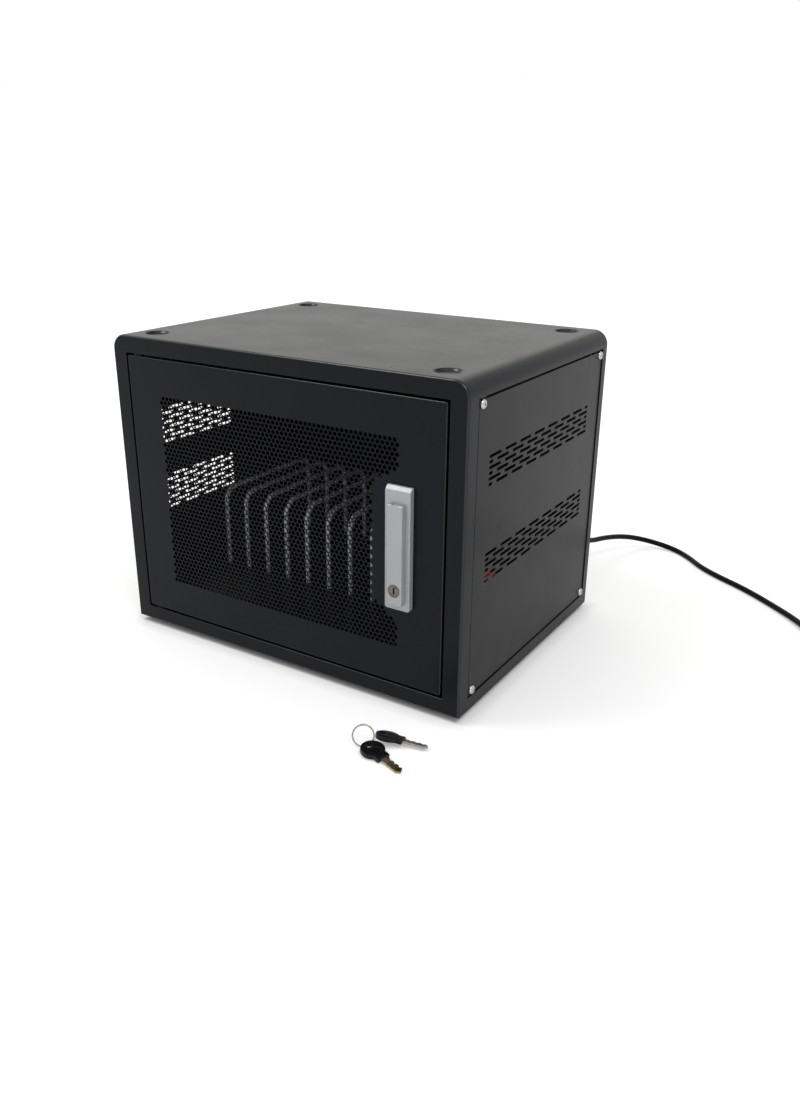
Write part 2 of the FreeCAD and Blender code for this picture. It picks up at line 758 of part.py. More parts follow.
door_frame = part_body("door_frame")
DOOR_INSIDE = FRONT + s.sheet_thickness
inner_edges = rectangle(DOOR_LEFT + s.sheet_thickness, DOOR_RIGHT - s.sheet_thickness,
                        DOOR_BOTTOM + s.sheet_thickness, DOOR_TOP - s.sheet_thickness)
lip_edges = rectangle(DOOR_LEFT + s.door_lip, DOOR_RIGHT - s.door_lip,
                      DOOR_BOTTOM + s.door_lip, DOOR_TOP - s.door_lip)
extrude(door_frame, "Pad", "XZ", (DOOR_INSIDE, DOOR_REAR), [door_edges, inner_edges])
extrude(door_frame, "Pad", "XZ", (DOOR_REAR - s.sheet_thickness, DOOR_REAR), [door_edges, lip_edges])
pin_hole = [((PIVOT_X, PIVOT_Y), s.pivot_pin_diameter / 2 + s.running_clearance)]
extrude(door_frame, "Pocket", "XY", (DOOR_TOP - s.sheet_thickness, DOOR_TOP), circles=pin_hole)
extrude(door_frame, "Pocket", "XY", (DOOR_BOTTOM, DOOR_BOTTOM + s.sheet_thickness), circles=pin_hole)

BLOCK_X = (DOOR_LEFT + s.sheet_thickness, DOOR_LEFT + s.sheet_thickness + s.pivot_block_width)
BLOCK_Y = (DOOR_INSIDE, DOOR_INSIDE + s.pivot_block_depth)


def make_pivot(name, block_z, pin_start, pin_end):
    block = box(f"{name}_block", BLOCK_X, BLOCK_Y, block_z)
    pin = cylinder(f"{name}_pin", "Z", s.pivot_pin_diameter / 2, (PIVOT_X, PIVOT_Y, pin_start),
                   pin_end - pin_start)
    return fuse(name, block, pin)


BLOCK_TOP = DOOR_TOP - s.sheet_thickness
BLOCK_BASE = DOOR_BOTTOM + s.sheet_thickness
BUSH_REACH = s.sheet_thickness + s.bush_spigot
door_pivot_top = make_pivot("door_pivot_top", (BLOCK_TOP - s.pivot_block_height, BLOCK_TOP),
                            BLOCK_TOP - s.pivot_block_height, OPENING_TOP + BUSH_REACH)
door_pivot_bottom = make_pivot("door_pivot_bottom", (BLOCK_BASE, BLOCK_BASE + s.pivot_block_height),
                               OPENING_BOTTOM - BUSH_REACH, BLOCK_BASE + s.pivot_block_height)


def make_bush(name, spigot, flange):
    """A flanged nylon bush: its spigot sits in the jamb and its flange in the door gap."""
    sleeve = cylinder(f"{name}_sleeve", "Z", s.bush_diameter / 2, (PIVOT_X, PIVOT_Y, spigot[0]),
                      spigot[1] - spigot[0])
    collar = cylinder(f"{name}_collar", "Z", s.bush_flange_diameter / 2, (PIVOT_X, PIVOT_Y, flange[0]),
                      flange[1] - flange[0])
    bore = cylinder(f"{name}_bore", "Z", s.pivot_pin_diameter / 2 + s.running_clearance,
                    (PIVOT_X, PIVOT_Y, spigot[0] - s.cut_overrun),
                    spigot[1] - spigot[0] + 2 * s.cut_overrun)
    return cut(name, fuse(f"{name}_blank", sleeve, collar), bore)


hinge_bush_top = make_bush("hinge_bush_top", (OPENING_TOP - s.bush_flange, OPENING_TOP + BUSH_REACH),
                           (OPENING_TOP - s.bush_flange, OPENING_TOP))
hinge_bush_bottom = make_bush("hinge_bush_bottom", (OPENING_BOTTOM - BUSH_REACH, OPENING_BOTTOM + s.bush_flange),
                              (OPENING_BOTTOM, OPENING_BOTTOM + s.bush_flange))

# Swing handle: base plate, lever on a hub, key lock, cam behind the door

HANDLE_SIDES = (HANDLE_X - s.handle_width / 2, HANDLE_X + s.handle_width / 2)
HANDLE_ENDS = (HANDLE_Z - s.handle_height / 2, HANDLE_Z + s.handle_height / 2)
handle_base = part_body("handle_base")
extrude(handle_base, "Pad", "YZ", HANDLE_SIDES, [[
    (HANDLE_FACE, HANDLE_ENDS[0]), (FRONT, HANDLE_ENDS[0]), (FRONT, HANDLE_ENDS[1]),
    (HANDLE_FACE + s.handle_slope, HANDLE_ENDS[1]), (HANDLE_FACE, HANDLE_ENDS[1] - s.handle_slope)]])
dress(handle_base, "Fillet", s.handle_corner, lambda edge: (
    (at(edge, x=HANDLE_SIDES[0]) or at(edge, x=HANDLE_SIDES[1])) and at(edge, z=HANDLE_ENDS[0])))
extrude(handle_base, "Pocket", "XZ", (HANDLE_FACE, FRONT), circles=[((HANDLE_X, SPINDLE_Z), HUB_HOLE)])
extrude(handle_base, "Pocket", "XZ", (FRONT - s.handle_screw_bite, FRONT),
        circles=[((HANDLE_X, z), HANDLE_SCREW_HOLE) for z in HANDLE_SCREW_ROWS])

fixing_screws = []
for z in HANDLE_SCREW_ROWS:
    screw = make_pan_screw(f"fixing_screw_{len(fixing_screws) + 1}", s.handle_screw_head,
                           s.handle_screw_head_height, s.handle_screw_diameter,
                           s.sheet_thickness + s.handle_screw_bite - s.screw_clearance)
    screw.Placement = Placement(Vector(), TURN_FROM_Z["Y"])
    fixing_screws.append(place(screw, HANDLE_X, DOOR_INSIDE, z))
handle_screws = group("handle_screws", fixing_screws)

lever_blank = part_body("lever_blank")
LEVER_EDGES = rectangle(HANDLE_X - s.lever_width / 2, HANDLE_X + s.lever_width / 2, LEVER_BOTTOM, LEVER_TOP)
extrude(lever_blank, "Pad", "XZ", (LEVER_FACE, LEVER_REAR), [LEVER_EDGES])
ROUND_END = s.lever_thickness / 2 - s.running_clearance
dress(lever_blank, "Fillet", ROUND_END,
      lambda edge: at(edge, z=LEVER_TOP) and (at(edge, y=LEVER_FACE) or at(edge, y=LEVER_REAR)))
dress(lever_blank, "Fillet", s.lever_edge, lambda edge: at(edge, y=LEVER_FACE))
TONGUE_BASE = SPINDLE_Z - s.lever_thickness / 2 - s.tongue_clearance
fork_half = s.hub_tongue / 2 + s.tongue_clearance
fork = box("lever_fork", (HANDLE_X - fork_half, HANDLE_X + fork_half),
           (LEVER_FACE + s.lever_skin, LEVER_REAR + s.cut_overrun), (TONGUE_BASE, LEVER_TOP + s.cut_overrun))
LOCK_Z = LEVER_BOTTOM + s.lock_inset
lock_bore = cylinder("lever_lock_bore", "Y", s.lock_diameter / 2 + s.running_clearance,
                     (HANDLE_X, LEVER_FACE - s.cut_overrun, LOCK_Z), s.lever_thickness + 2 * s.cut_overrun)
FLANGE_FRONT = LEVER_REAR - s.lock_flange - s.running_clearance
lock_seat = cylinder("lever_lock_seat", "Y", s.lock_flange_diameter / 2 + s.running_clearance,
                     (HANDLE_X, FLANGE_FRONT - s.running_clearance, LOCK_Z), s.lock_flange + s.cut_overrun)
PIN_HOLE = s.lever_pin_diameter / 2 + s.running_clearance
PIN_START = (HANDLE_X - s.lever_width / 2 + s.running_clearance, SPINDLE_Y, SPINDLE_Z)
lever_drill = cylinder("lever_drill", "X", PIN_HOLE,
                       (HANDLE_X - s.lever_width / 2 - s.cut_overrun, SPINDLE_Y, SPINDLE_Z),
                       s.lever_width + 2 * s.cut_overrun)
handle_lever = cut("handle_lever", lever_blank, fork, lock_bore, lock_seat, lever_drill)
lever_pin = cylinder("lever_pin", "X", s.lever_pin_diameter / 2, PIN_START,
                     s.lever_width - 2 * s.running_clearance)

barrel = cylinder("lock_barrel", "Y", s.lock_diameter / 2, (HANDLE_X, LEVER_FACE, LOCK_Z),
                  FLANGE_FRONT - LEVER_FACE)
barrel_flange = cylinder("lock_flange_disc", "Y", s.lock_flange_diameter / 2, (HANDLE_X, FLANGE_FRONT, LOCK_Z),
                         s.lock_flange)
keyhole = box("keyhole", (HANDLE_X - s.keyhole_width / 2, HANDLE_X + s.keyhole_width / 2),
              (LEVER_FACE - s.cut_overrun, LEVER_FACE + s.keyhole_depth),
              (LOCK_Z - s.keyhole_length / 2, LOCK_Z + s.keyhole_length / 2))
lock_core = cut("lock_core", fuse("lock_blank", barrel, barrel_flange), keyhole)

CAM_REAR = CAM_FACE + s.cam_thickness
NUT_REAR = CAM_REAR + s.cam_nut_height
hub = cylinder("hub", "Y", s.hub_diameter / 2, (HANDLE_X, HANDLE_FACE, SPINDLE_Z), CAM_FACE - HANDLE_FACE)
threaded_end = cylinder("spindle_end", "Y", s.spindle_diameter / 2, (HANDLE_X, CAM_FACE, SPINDLE_Z),
                        NUT_REAR - CAM_FACE)
tongue_half = s.hub_tongue / 2
eye = s.tongue_eye_diameter / 2
tongue = box("hub_tongue_bar", (HANDLE_X - tongue_half, HANDLE_X + tongue_half), (SPINDLE_Y, HANDLE_FACE),
             (SPINDLE_Z - eye, SPINDLE_Z + eye))
tongue_eye = cylinder("hub_tongue_eye", "X", eye, (HANDLE_X - tongue_half, SPINDLE_Y, SPINDLE_Z), s.hub_tongue)
tongue_drill = cylinder("hub_drill", "X", PIN_HOLE,
                        (HANDLE_X - tongue_half - s.cut_overrun, SPINDLE_Y, SPINDLE_Z),
                        s.hub_tongue + 2 * s.cut_overrun)
spindle = cut("spindle", fuse("spindle_blank", hub, threaded_end, tongue, tongue_eye), tongue_drill)

latch_cam = part_body("latch_cam")
CAM_EDGES = rectangle(HANDLE_X - s.cam_width / 2, HANDLE_X + s.cam_reach,
                      SPINDLE_Z - s.cam_width / 2, SPINDLE_Z + s.cam_width / 2)
extrude(latch_cam, "Pad", "XZ", (CAM_FACE, CAM_REAR), [CAM_EDGES])
dress(latch_cam, "Fillet", s.cam_width / 2 - s.running_clearance, lambda edge: (
    at(edge, x=CAM_EDGES[0][0]) and (at(edge, z=CAM_EDGES[0][1]) or at(edge, z=CAM_EDGES[2][1]))))
extrude(latch_cam, "Pocket", "XZ", (CAM_FACE, CAM_REAR),
        circles=[((HANDLE_X, SPINDLE_Z), s.spindle_diameter / 2 + s.running_clearance)])
nut_blank = prism("cam_nut_blank", "Y", s.cam_nut_width / 2, (HANDLE_X, CAM_REAR, SPINDLE_Z), s.cam_nut_height)
nut_bore = cylinder("cam_nut_bore", "Y", s.spindle_diameter / 2 + s.running_clearance,
                    (HANDLE_X, CAM_REAR - s.cut_overrun, SPINDLE_Z), s.cam_nut_height + 2 * s.cut_overrun)
cam_nut = cut("cam_nut", nut_blank, nut_bore)

strike_plate = part_body("strike_plate")
STRIKE_WALL = OPENING_RIGHT + s.sheet_thickness
LIP_FRONT = FRONT + s.jamb_depth
extrude(strike_plate, "Pad", "XY", (SPINDLE_Z - s.strike_height / 2, SPINDLE_Z + s.strike_height / 2), [[
    (OPENING_RIGHT - s.strike_lip, LIP_FRONT), (STRIKE_WALL, LIP_FRONT),
    (STRIKE_WALL, LIP_FRONT - s.strike_lap), (STRIKE_WALL + s.strike_thickness, LIP_FRONT - s.strike_lap),
    (STRIKE_WALL + s.strike_thickness, STRIKE_FACE), (OPENING_RIGHT - s.strike_lip, STRIKE_FACE)]])

# Tray and wire dividers

device_tray = part_body("device_tray")
TRAY_X = (LEFT + s.tray_side_gap, RIGHT - s.tray_side_gap)
TRAY_Y = (FRONT + s.tray_front, BACK - s.tray_back)
TRAY_FLOOR = TRAY_TOP - s.tray_thickness
NOSE_X = (LEFT + s.tray_nose_inset_left, RIGHT - s.tray_nose_inset_right)
NOSE_Y = TRAY_Y[0] - s.tray_nose
extrude(device_tray, "Pad", "XY", (TRAY_FLOOR, TRAY_TOP), [[
    (TRAY_X[0], TRAY_Y[0]), (NOSE_X[0], TRAY_Y[0]), (NOSE_X[0], NOSE_Y), (NOSE_X[1], NOSE_Y),
    (NOSE_X[1], TRAY_Y[0]), (TRAY_X[1], TRAY_Y[0]), (TRAY_X[1], TRAY_Y[1]), (TRAY_X[0], TRAY_Y[1])]])
extrude(device_tray, "Pad", "XY", (TRAY_TOP - s.tray_hem, TRAY_TOP),
        [rectangle(*NOSE_X, NOSE_Y, NOSE_Y + s.tray_thickness)])
WALL_X = (TRAY_X[0] + s.tray_wall_inset, TRAY_X[1] - s.tray_wall_inset)
for y in (TRAY_Y[0] + s.tray_wall_inset, TRAY_Y[1] - s.tray_wall_inset):
    extrude(device_tray, "Pad", "XY", (BASE_TOP, TRAY_TOP), [rectangle(*WALL_X, y, y + s.tray_thickness)])


def make_divider(name, x):
    """A wire bent into an upside-down U, standing on the tray."""
    front, rear = float(FRONT + s.divider_setback), float(BACK - s.divider_back)
    foot, top = float(TRAY_TOP), float(TRAY_TOP + s.divider_height)
    bend = float(s.divider_bend)
    corner = bend * (1 - math.sqrt(0.5))

    def point(y, z):
        return Vector(float(x), y, z)

    path = Part.Wire([
        Part.LineSegment(point(front, foot), point(front, top - bend)).toShape(),
        Part.Arc(point(front, top - bend), point(front + corner, top - corner),
                 point(front + bend, top)).toShape(),
        Part.LineSegment(point(front + bend, top), point(rear - bend, top)).toShape(),
        Part.Arc(point(rear - bend, top), point(rear - corner, top - corner),
                 point(rear, top - bend)).toShape(),
        Part.LineSegment(point(rear, top - bend), point(rear, foot)).toShape()])
    section = disc_wire(point(front, foot), Vector(0, 0, 1), s.wire_diameter / 2)
    return feature_of(name, path.makePipeShell([section], True, False))


RACK_LEFT = LEFT + s.rack_inset
rack_room = CHARGER_LEFT - s.strip_proud - s.lead_room - RACK_LEFT
slot_pitch = rack_room / SLOT_COUNT
dividers = []
for number in range(1, SLOT_COUNT):
    dividers.append(make_divider(f"divider_{number}", RACK_LEFT + slot_pitch * number))

# Charging unit: housing with a cover, a strip of ports and a rocker switch

PORT_Z = (TRAY_TOP + COVER_BOTTOM) / 2
STRIP_HALF = s.port_height / 2 + s.strip_wall
port_count = int(float(s.charger_length - 2 * s.strip_margin) / float(s.port_pitch))
STRIP_Y_HALF = s.port_pitch * (port_count / 2)
STRIP_X = (CHARGER_LEFT - s.strip_proud, CHARGER_LEFT - s.strip_proud + s.port_depth + s.strip_floor)
ROCKER_X, ROCKER_Y = CHARGER_RIGHT - s.rocker_inset_side, CHARGER_FRONT + s.rocker_inset_end
WELL_HALF_X = s.rocker_width / 2 + s.rocker_clearance + s.bezel_wall
WELL_HALF_Y = s.rocker_length / 2 + s.rocker_clearance + s.bezel_wall
WELL_FLOOR = CHARGER_TOP - s.bezel_well_depth
WELL_EDGES = rectangle(ROCKER_X - WELL_HALF_X, ROCKER_X + WELL_HALF_X,
                       ROCKER_Y - WELL_HALF_Y, ROCKER_Y + WELL_HALF_Y)

charger_housing = part_body("charger_housing")
extrude(charger_housing, "Pad", "XY", (TRAY_TOP, COVER_BOTTOM),
        [rectangle(CHARGER_LEFT, CHARGER_RIGHT, CHARGER_FRONT, CHARGER_REAR)])
dress(charger_housing, "Fillet", s.charger_edge, lambda edge: (
    (at(edge, x=CHARGER_LEFT) or at(edge, x=CHARGER_RIGHT))
    and (at(edge, y=CHARGER_FRONT) or at(edge, y=CHARGER_REAR))))
extrude(charger_housing, "Pocket", "YZ", (CHARGER_LEFT - s.cut_overrun, STRIP_X[1]),
        [rectangle(-STRIP_Y_HALF, STRIP_Y_HALF, PORT_Z - STRIP_HALF, PORT_Z + STRIP_HALF)])
extrude(charger_housing, "Pocket", "XY", (WELL_FLOOR, COVER_BOTTOM), [WELL_EDGES])

charger_cover = part_body("charger_cover")
extrude(charger_cover, "Pad", "XY", (COVER_BOTTOM, CHARGER_TOP), [
    rectangle(CHARGER_LEFT - s.cover_overhang, CHARGER_RIGHT + s.cover_overhang,
              CHARGER_FRONT - s.cover_overhang, CHARGER_REAR + s.cover_overhang), WELL_EDGES])
dress(charger_cover, "Fillet", s.charger_edge, lambda edge: at(edge, z=CHARGER_TOP) and not (
    edge.BoundBox.XMin > float(CHARGER_LEFT) and edge.BoundBox.XMax < float(CHARGER_RIGHT)
    and edge.BoundBox.YMin > float(CHARGER_FRONT) and edge.BoundBox.YMax < float(CHARGER_REAR)))

port_strip = part_body("port_strip")
extrude(port_strip, "Pad", "YZ", STRIP_X,
        [rectangle(-STRIP_Y_HALF, STRIP_Y_HALF, PORT_Z - STRIP_HALF, PORT_Z + STRIP_HALF)])
sockets = []
for port in range(port_count):
    y = s.port_pitch * (port - (port_count - 1) / 2)
    sockets.append(rectangle(y - s.port_width / 2, y + s.port_width / 2,
                             PORT_Z - s.port_height / 2, PORT_Z + s.port_height / 2))
extrude(port_strip, "Pocket", "YZ", (STRIP_X[0], STRIP_X[0] + s.port_depth), sockets)

INSIDE_X, INSIDE_Y = s.rocker_width / 2 + s.rocker_clearance, s.rocker_length / 2 + s.rocker_clearance
rocker_well = part_body("rocker_well")
extrude(rocker_well, "Pad", "XY", (WELL_FLOOR, CHARGER_TOP), [WELL_EDGES])
extrude(rocker_well, "Pad", "XY", (CHARGER_TOP, CHARGER_TOP + s.bezel_rim_height), [rectangle(
    WELL_EDGES[0][0] - s.bezel_rim, WELL_EDGES[1][0] + s.bezel_rim,
    WELL_EDGES[0][1] - s.bezel_rim, WELL_EDGES[2][1] + s.bezel_rim)])
extrude(rocker_well, "Pocket", "XY", (WELL_FLOOR + s.bezel_wall, CHARGER_TOP + s.bezel_rim_height), [rectangle(
    ROCKER_X - INSIDE_X, ROCKER_X + INSIDE_X, ROCKER_Y - INSIDE_Y, ROCKER_Y + INSIDE_Y)])
ROCKER_PIVOT_Z = CHARGER_TOP - s.rocker_rise / 2
pin_socket = cylinder("rocker_pin_socket", "X", s.rocker_pin_diameter / 2 + s.running_clearance,
                      (ROCKER_X - WELL_HALF_X, ROCKER_Y, ROCKER_PIVOT_Z), 2 * WELL_HALF_X)
rocker_bezel = cut("rocker_bezel", rocker_well, pin_socket)

rocker_cap = part_body("rocker_cap")
CAP_TIP = s.rocker_length / 2 - s.rocker_clearance
extrude(rocker_cap, "Pad", "YZ", (-s.rocker_width / 2, s.rocker_width / 2), [[
    (-CAP_TIP, -s.rocker_rise), (0, -s.rocker_length / 2), (CAP_TIP, -s.rocker_rise),
    (CAP_TIP, s.rocker_rise), (0, s.rocker_rise / 2), (-CAP_TIP, s.rocker_rise)]])
cap_pin = cylinder("rocker_cap_pin", "X", s.rocker_pin_diameter / 2,
                   (-(WELL_HALF_X - s.running_clearance), 0, 0), 2 * (WELL_HALF_X - s.running_clearance))
rocker = fuse("rocker", rocker_cap, cap_pin)
rocker.Placement = Placement(Vector(), Rotation(Vector(1, 0, 0), ROCKER_TILT))
place(rocker, ROCKER_X, ROCKER_Y, ROCKER_PIVOT_Z)

# Cable entry: strain relief, lock nut and the short lead inside the casing

strain_relief = part_body("strain_relief")
SPIGOT = s.sheet_thickness + s.gland_nut_height
revolve(strain_relief, [
    (0, -SPIGOT), (s.gland_diameter / 2, -SPIGOT), (s.gland_diameter / 2, 0), (s.gland_flange_diameter / 2, 0),
    (s.gland_flange_diameter / 2, s.gland_flange), (s.gland_diameter / 2, s.gland_flange),
    (s.relief_tip_diameter / 2, s.relief_length), (0, s.relief_length)])
strain_relief.Placement = Placement(Vector(), TURN_FROM_Z["Y"])
place(strain_relief, GLAND_X, BACK, GLAND_Z)
NUT_START = BACK - s.sheet_thickness - s.gland_nut_height
gland_blank = prism("gland_nut_blank", "Y", s.gland_nut_diameter / 2, (GLAND_X, NUT_START, GLAND_Z),
                    s.gland_nut_height)
gland_bore = cylinder("gland_nut_bore", "Y", s.gland_diameter / 2 + s.running_clearance,
                      (GLAND_X, NUT_START - s.cut_overrun, GLAND_Z), s.gland_nut_height + 2 * s.cut_overrun)
gland_nut = cut("gland_nut", gland_blank, gland_bore)
inner_lead = cylinder("inner_lead", "Y", s.cord_diameter / 2, (GLAND_X, CHARGER_REAR, GLAND_Z),
                      NUT_START - CHARGER_REAR)

# Mains lead: a free stretch, then a coil that is put away, its tie and its plug

CORD = float(s.cord_diameter)
RELIEF_END = Vector(float(GLAND_X), float(BACK + s.relief_length), float(GLAND_Z))
LAID = CORD / 2
COIL_LAID = LAID + float(s.coil_lift)
cord_route = [
    RELIEF_END,
    Vector(150, 200, 68),
    Vector(150.5, 225, 57.5),
    Vector(158, 262, 34.5),
    Vector(168, 304, 29.5),
    Vector(183, 344, 21),
    Vector(206, 373, 9.5),
    Vector(236, 378, LAID),
    Vector(262, 359, LAID),
    Vector(283, 336, LAID),
    Vector(310, 317, LAID),
    Vector(348, 296, LAID),
    Vector(389, 265, LAID),
    Vector(425, 231.5, COIL_LAID),
    Vector(444.5, 202, COIL_LAID),
]


BEND_SHARE = 0.45


def rounded_path(points):
    """Straight runs joined by tangent arcs, each as large as its two runs allow."""
    edges = []
    radii = []
    begin = points[0]
    for before, corner, after in zip(points, points[1:], points[2:]):
        run_in, run_out = corner - before, after - corner
        half_turn = run_in.getAngle(run_out) / 2
        reach = BEND_SHARE * min(run_in.Length, run_out.Length)
        radius = reach / math.tan(half_turn)
        towards = (before - corner).normalize()
        onwards = (after - corner).normalize()
        arc_start, arc_end = corner + towards * reach, corner + onwards * reach
        inward = (towards + onwards).normalize()
        arc_middle = corner + inward * (radius / math.cos(half_turn) - radius)
        edges.append(Part.LineSegment(begin, arc_start).toShape())
        edges.append(Part.Arc(arc_start, arc_middle, arc_end).toShape())
        radii.append(radius)
        begin = arc_end
    edges.append(Part.LineSegment(begin, points[-1]).toShape())
    return Part.Wire(edges), radii


def tube(path, start, along, radius):
    return path.makePipeShell([disc_wire(start, along, radius)], True, False)


cord_path, cord_radii = rounded_path(cord_route)
power_cord = feature_of("power_cord", tube(cord_path, cord_route[0], cord_route[1] - cord_route[0], CORD / 2))
print("cord length", round(cord_path.Length, 1), "radii", [round(radius) for radius in cord_radii])
print("cord volume share", round(power_cord.Shape.Volume / (math.pi * CORD ** 2 / 4 * cord_path.Length), 4))

COIL_START = cord_route[-1]
COIL_HEADING = (cord_route[-1] - cord_route[-2]).normalize()
COIL_OUTER = float(s.coil_radius)
COIL_PITCH = float(s.coil_pitch)
COIL_ENTRY = COIL_START + COIL_HEADING * CORD
COIL_CENTRE = COIL_ENTRY + Vector(-COIL_HEADING.y, COIL_HEADING.x, 0) * COIL_OUTER
ENTRY_TURN = math.atan2(COIL_ENTRY.y - COIL_CENTRE.y, COIL_ENTRY.x - COIL_CENTRE.x) % (2 * math.pi)
COIL_SWEEP = 2 * math.pi * COIL_TURNS_WHOLE - ENTRY_TURN


def coil_point(turn):
    """The lead's centre line: a spiral in, up one layer in the half turn that reverses, and out."""
    from_middle = turn - COIL_SWEEP / 2
    radius = COIL_OUTER - COIL_PITCH * (COIL_SWEEP / 2 - abs(from_middle)) / (2 * math.pi)
    climb = min(max(from_middle / math.pi + 0.5, 0), 1)
    height = COIL_PITCH * (1 - math.cos(math.pi * climb)) / 2
    angle = ENTRY_TURN + turn
    return COIL_CENTRE + Vector(radius * math.cos(angle), radius * math.sin(angle), height)


def coil_heading(turn):
    step = COIL_SWEEP * TOLERANCE_SHARE
    return (coil_point(turn + step) - coil_point(turn - step)).normalize()


def biarc(start, start_heading, end, end_heading):
    """Two tangent arcs from one point and heading to another."""
    chord = end - start
    both = start_heading + end_heading
    bend = 2 * (1 - start_heading.dot(end_heading))
    along = chord.dot(both)
    if bend < TOLERANCE_SHARE:
        reach = chord.dot(chord) / (2 * along)
    else:
        reach = (math.sqrt(along ** 2 + bend * chord.dot(chord)) - along) / bend
    first, last = start + start_heading * reach, end - end_heading * reach
    middle = (first + last) / 2
    arcs = []
    for begin, apex, finish in ((start, first, middle), (middle, last, end)):
        weight = (finish - begin).Length / (2 * reach)
        crown = (begin + apex * (2 * weight) + finish) / (2 + 2 * weight)
        arcs.append(Part.Arc(begin, crown, finish).toShape())
    return arcs


span_count = round(COIL_SWEEP / (2 * math.pi) * COIL_SPANS_PER_TURN)
turns = [COIL_SWEEP * span / span_count for span in range(span_count + 1)]
coil_stops = [coil_point(turn) for turn in turns]
coil_headings = [coil_heading(turn) for turn in turns]
coil_stops[0], coil_headings[0] = COIL_ENTRY, COIL_HEADING
coil_headings[-1] = Vector(0, 1, 0)
PLUG_ENTRY = Vector(coil_stops[-1].x, coil_stops[-1].y + float(s.plug_gap), float(s.plug_diameter / 2))
TAIL_END = PLUG_ENTRY - Vector(0, CORD, 0)
coil_stops.append(TAIL_END)
coil_headings.append(Vector(0, 1, 0))

coil_edges = [Part.LineSegment(COIL_START, COIL_ENTRY).toShape()]
for index in range(span_count + 1):
    coil_edges += biarc(coil_stops[index], coil_headings[index], coil_stops[index + 1], coil_headings[index + 1])
coil_edges.append(Part.LineSegment(TAIL_END, PLUG_ENTRY).toShape())
coil_path = Part.Wire(coil_edges)
cord_coil = feature_of("cord_coil", tube(coil_path, COIL_START, COIL_HEADING, CORD / 2))
print("coil length", round(coil_path.Length, 1), "turns", round(COIL_SWEEP / (2 * math.pi), 2))
print("coil volume share", round(cord_coil.Shape.Volume / (math.pi * CORD ** 2 / 4 * coil_path.Length), 4))


def least_gap(path, diameter):
    """The least distance between two stretches of the tube that aren't neighbours."""
    points = path.discretize(Distance=diameter / 4)
    apart = round(math.pi * diameter / (diameter / 4))
    least = path.Length
    for index, point in enumerate(points):
        for other in points[index + apart:]:
            least = min(least, point.distanceToPoint(other))
    return least - diameter


print("coil least gap", round(least_gap(coil_path, CORD), 2))

TIE_INNER = COIL_OUTER - COIL_PITCH * COIL_SWEEP / (4 * math.pi) - CORD / 2 - float(s.tie_slack)
TIE_OUTER = COIL_OUTER + CORD / 2 + float(s.tie_slack)
TIE_TOP = COIL_LAID + COIL_PITCH + CORD / 2 + float(s.tie_slack)
TIE_LOW = float(s.coil_lift) - float(s.tie_slack)
TIE_BAND = float(s.tie_thickness)


def tie_loop(margin):
    """A block around the bundle of turns, on the far side of the coil, grown by a margin."""
    corner = COIL_CENTRE + Vector(-float(s.tie_width / 2), TIE_INNER - margin, 0)
    corner.z = TIE_LOW - margin
    depth, height = TIE_OUTER - TIE_INNER + 2 * margin, TIE_TOP - TIE_LOW + 2 * margin
    return Part.makeBox(float(s.tie_width), depth, height, corner)


cord_tie = feature_of("cord_tie", tie_loop(TIE_BAND).cut(tie_loop(0)))

plug_body = part_body("plug_body")
revolve(plug_body, [
    (0, 0), (s.plug_tip_diameter / 2, 0), (s.plug_neck_diameter / 2, s.plug_neck_length),
    (s.plug_diameter / 2, s.plug_length - s.plug_rim), (s.plug_diameter / 2, s.plug_length), (0, s.plug_length)])
plug_body.Placement = Placement(Vector(), TURN_FROM_Z["Y"])
place(plug_body, PLUG_ENTRY.x, PLUG_ENTRY.y, PLUG_ENTRY.z)
pins = []
for side in (-1, 1):
    start = (PLUG_ENTRY.x + side * s.plug_pin_spacing / 2, PLUG_ENTRY.y + s.plug_length, PLUG_ENTRY.z)
    pins.append(cylinder(f"plug_pin_{len(pins) + 1}", "Y", s.plug_pin_diameter / 2, start, s.plug_pin_length))
plug_pins = group("plug_pins", pins)


# Keys: two keys with moulded bows on a wire ring, lying in front of the cabinet

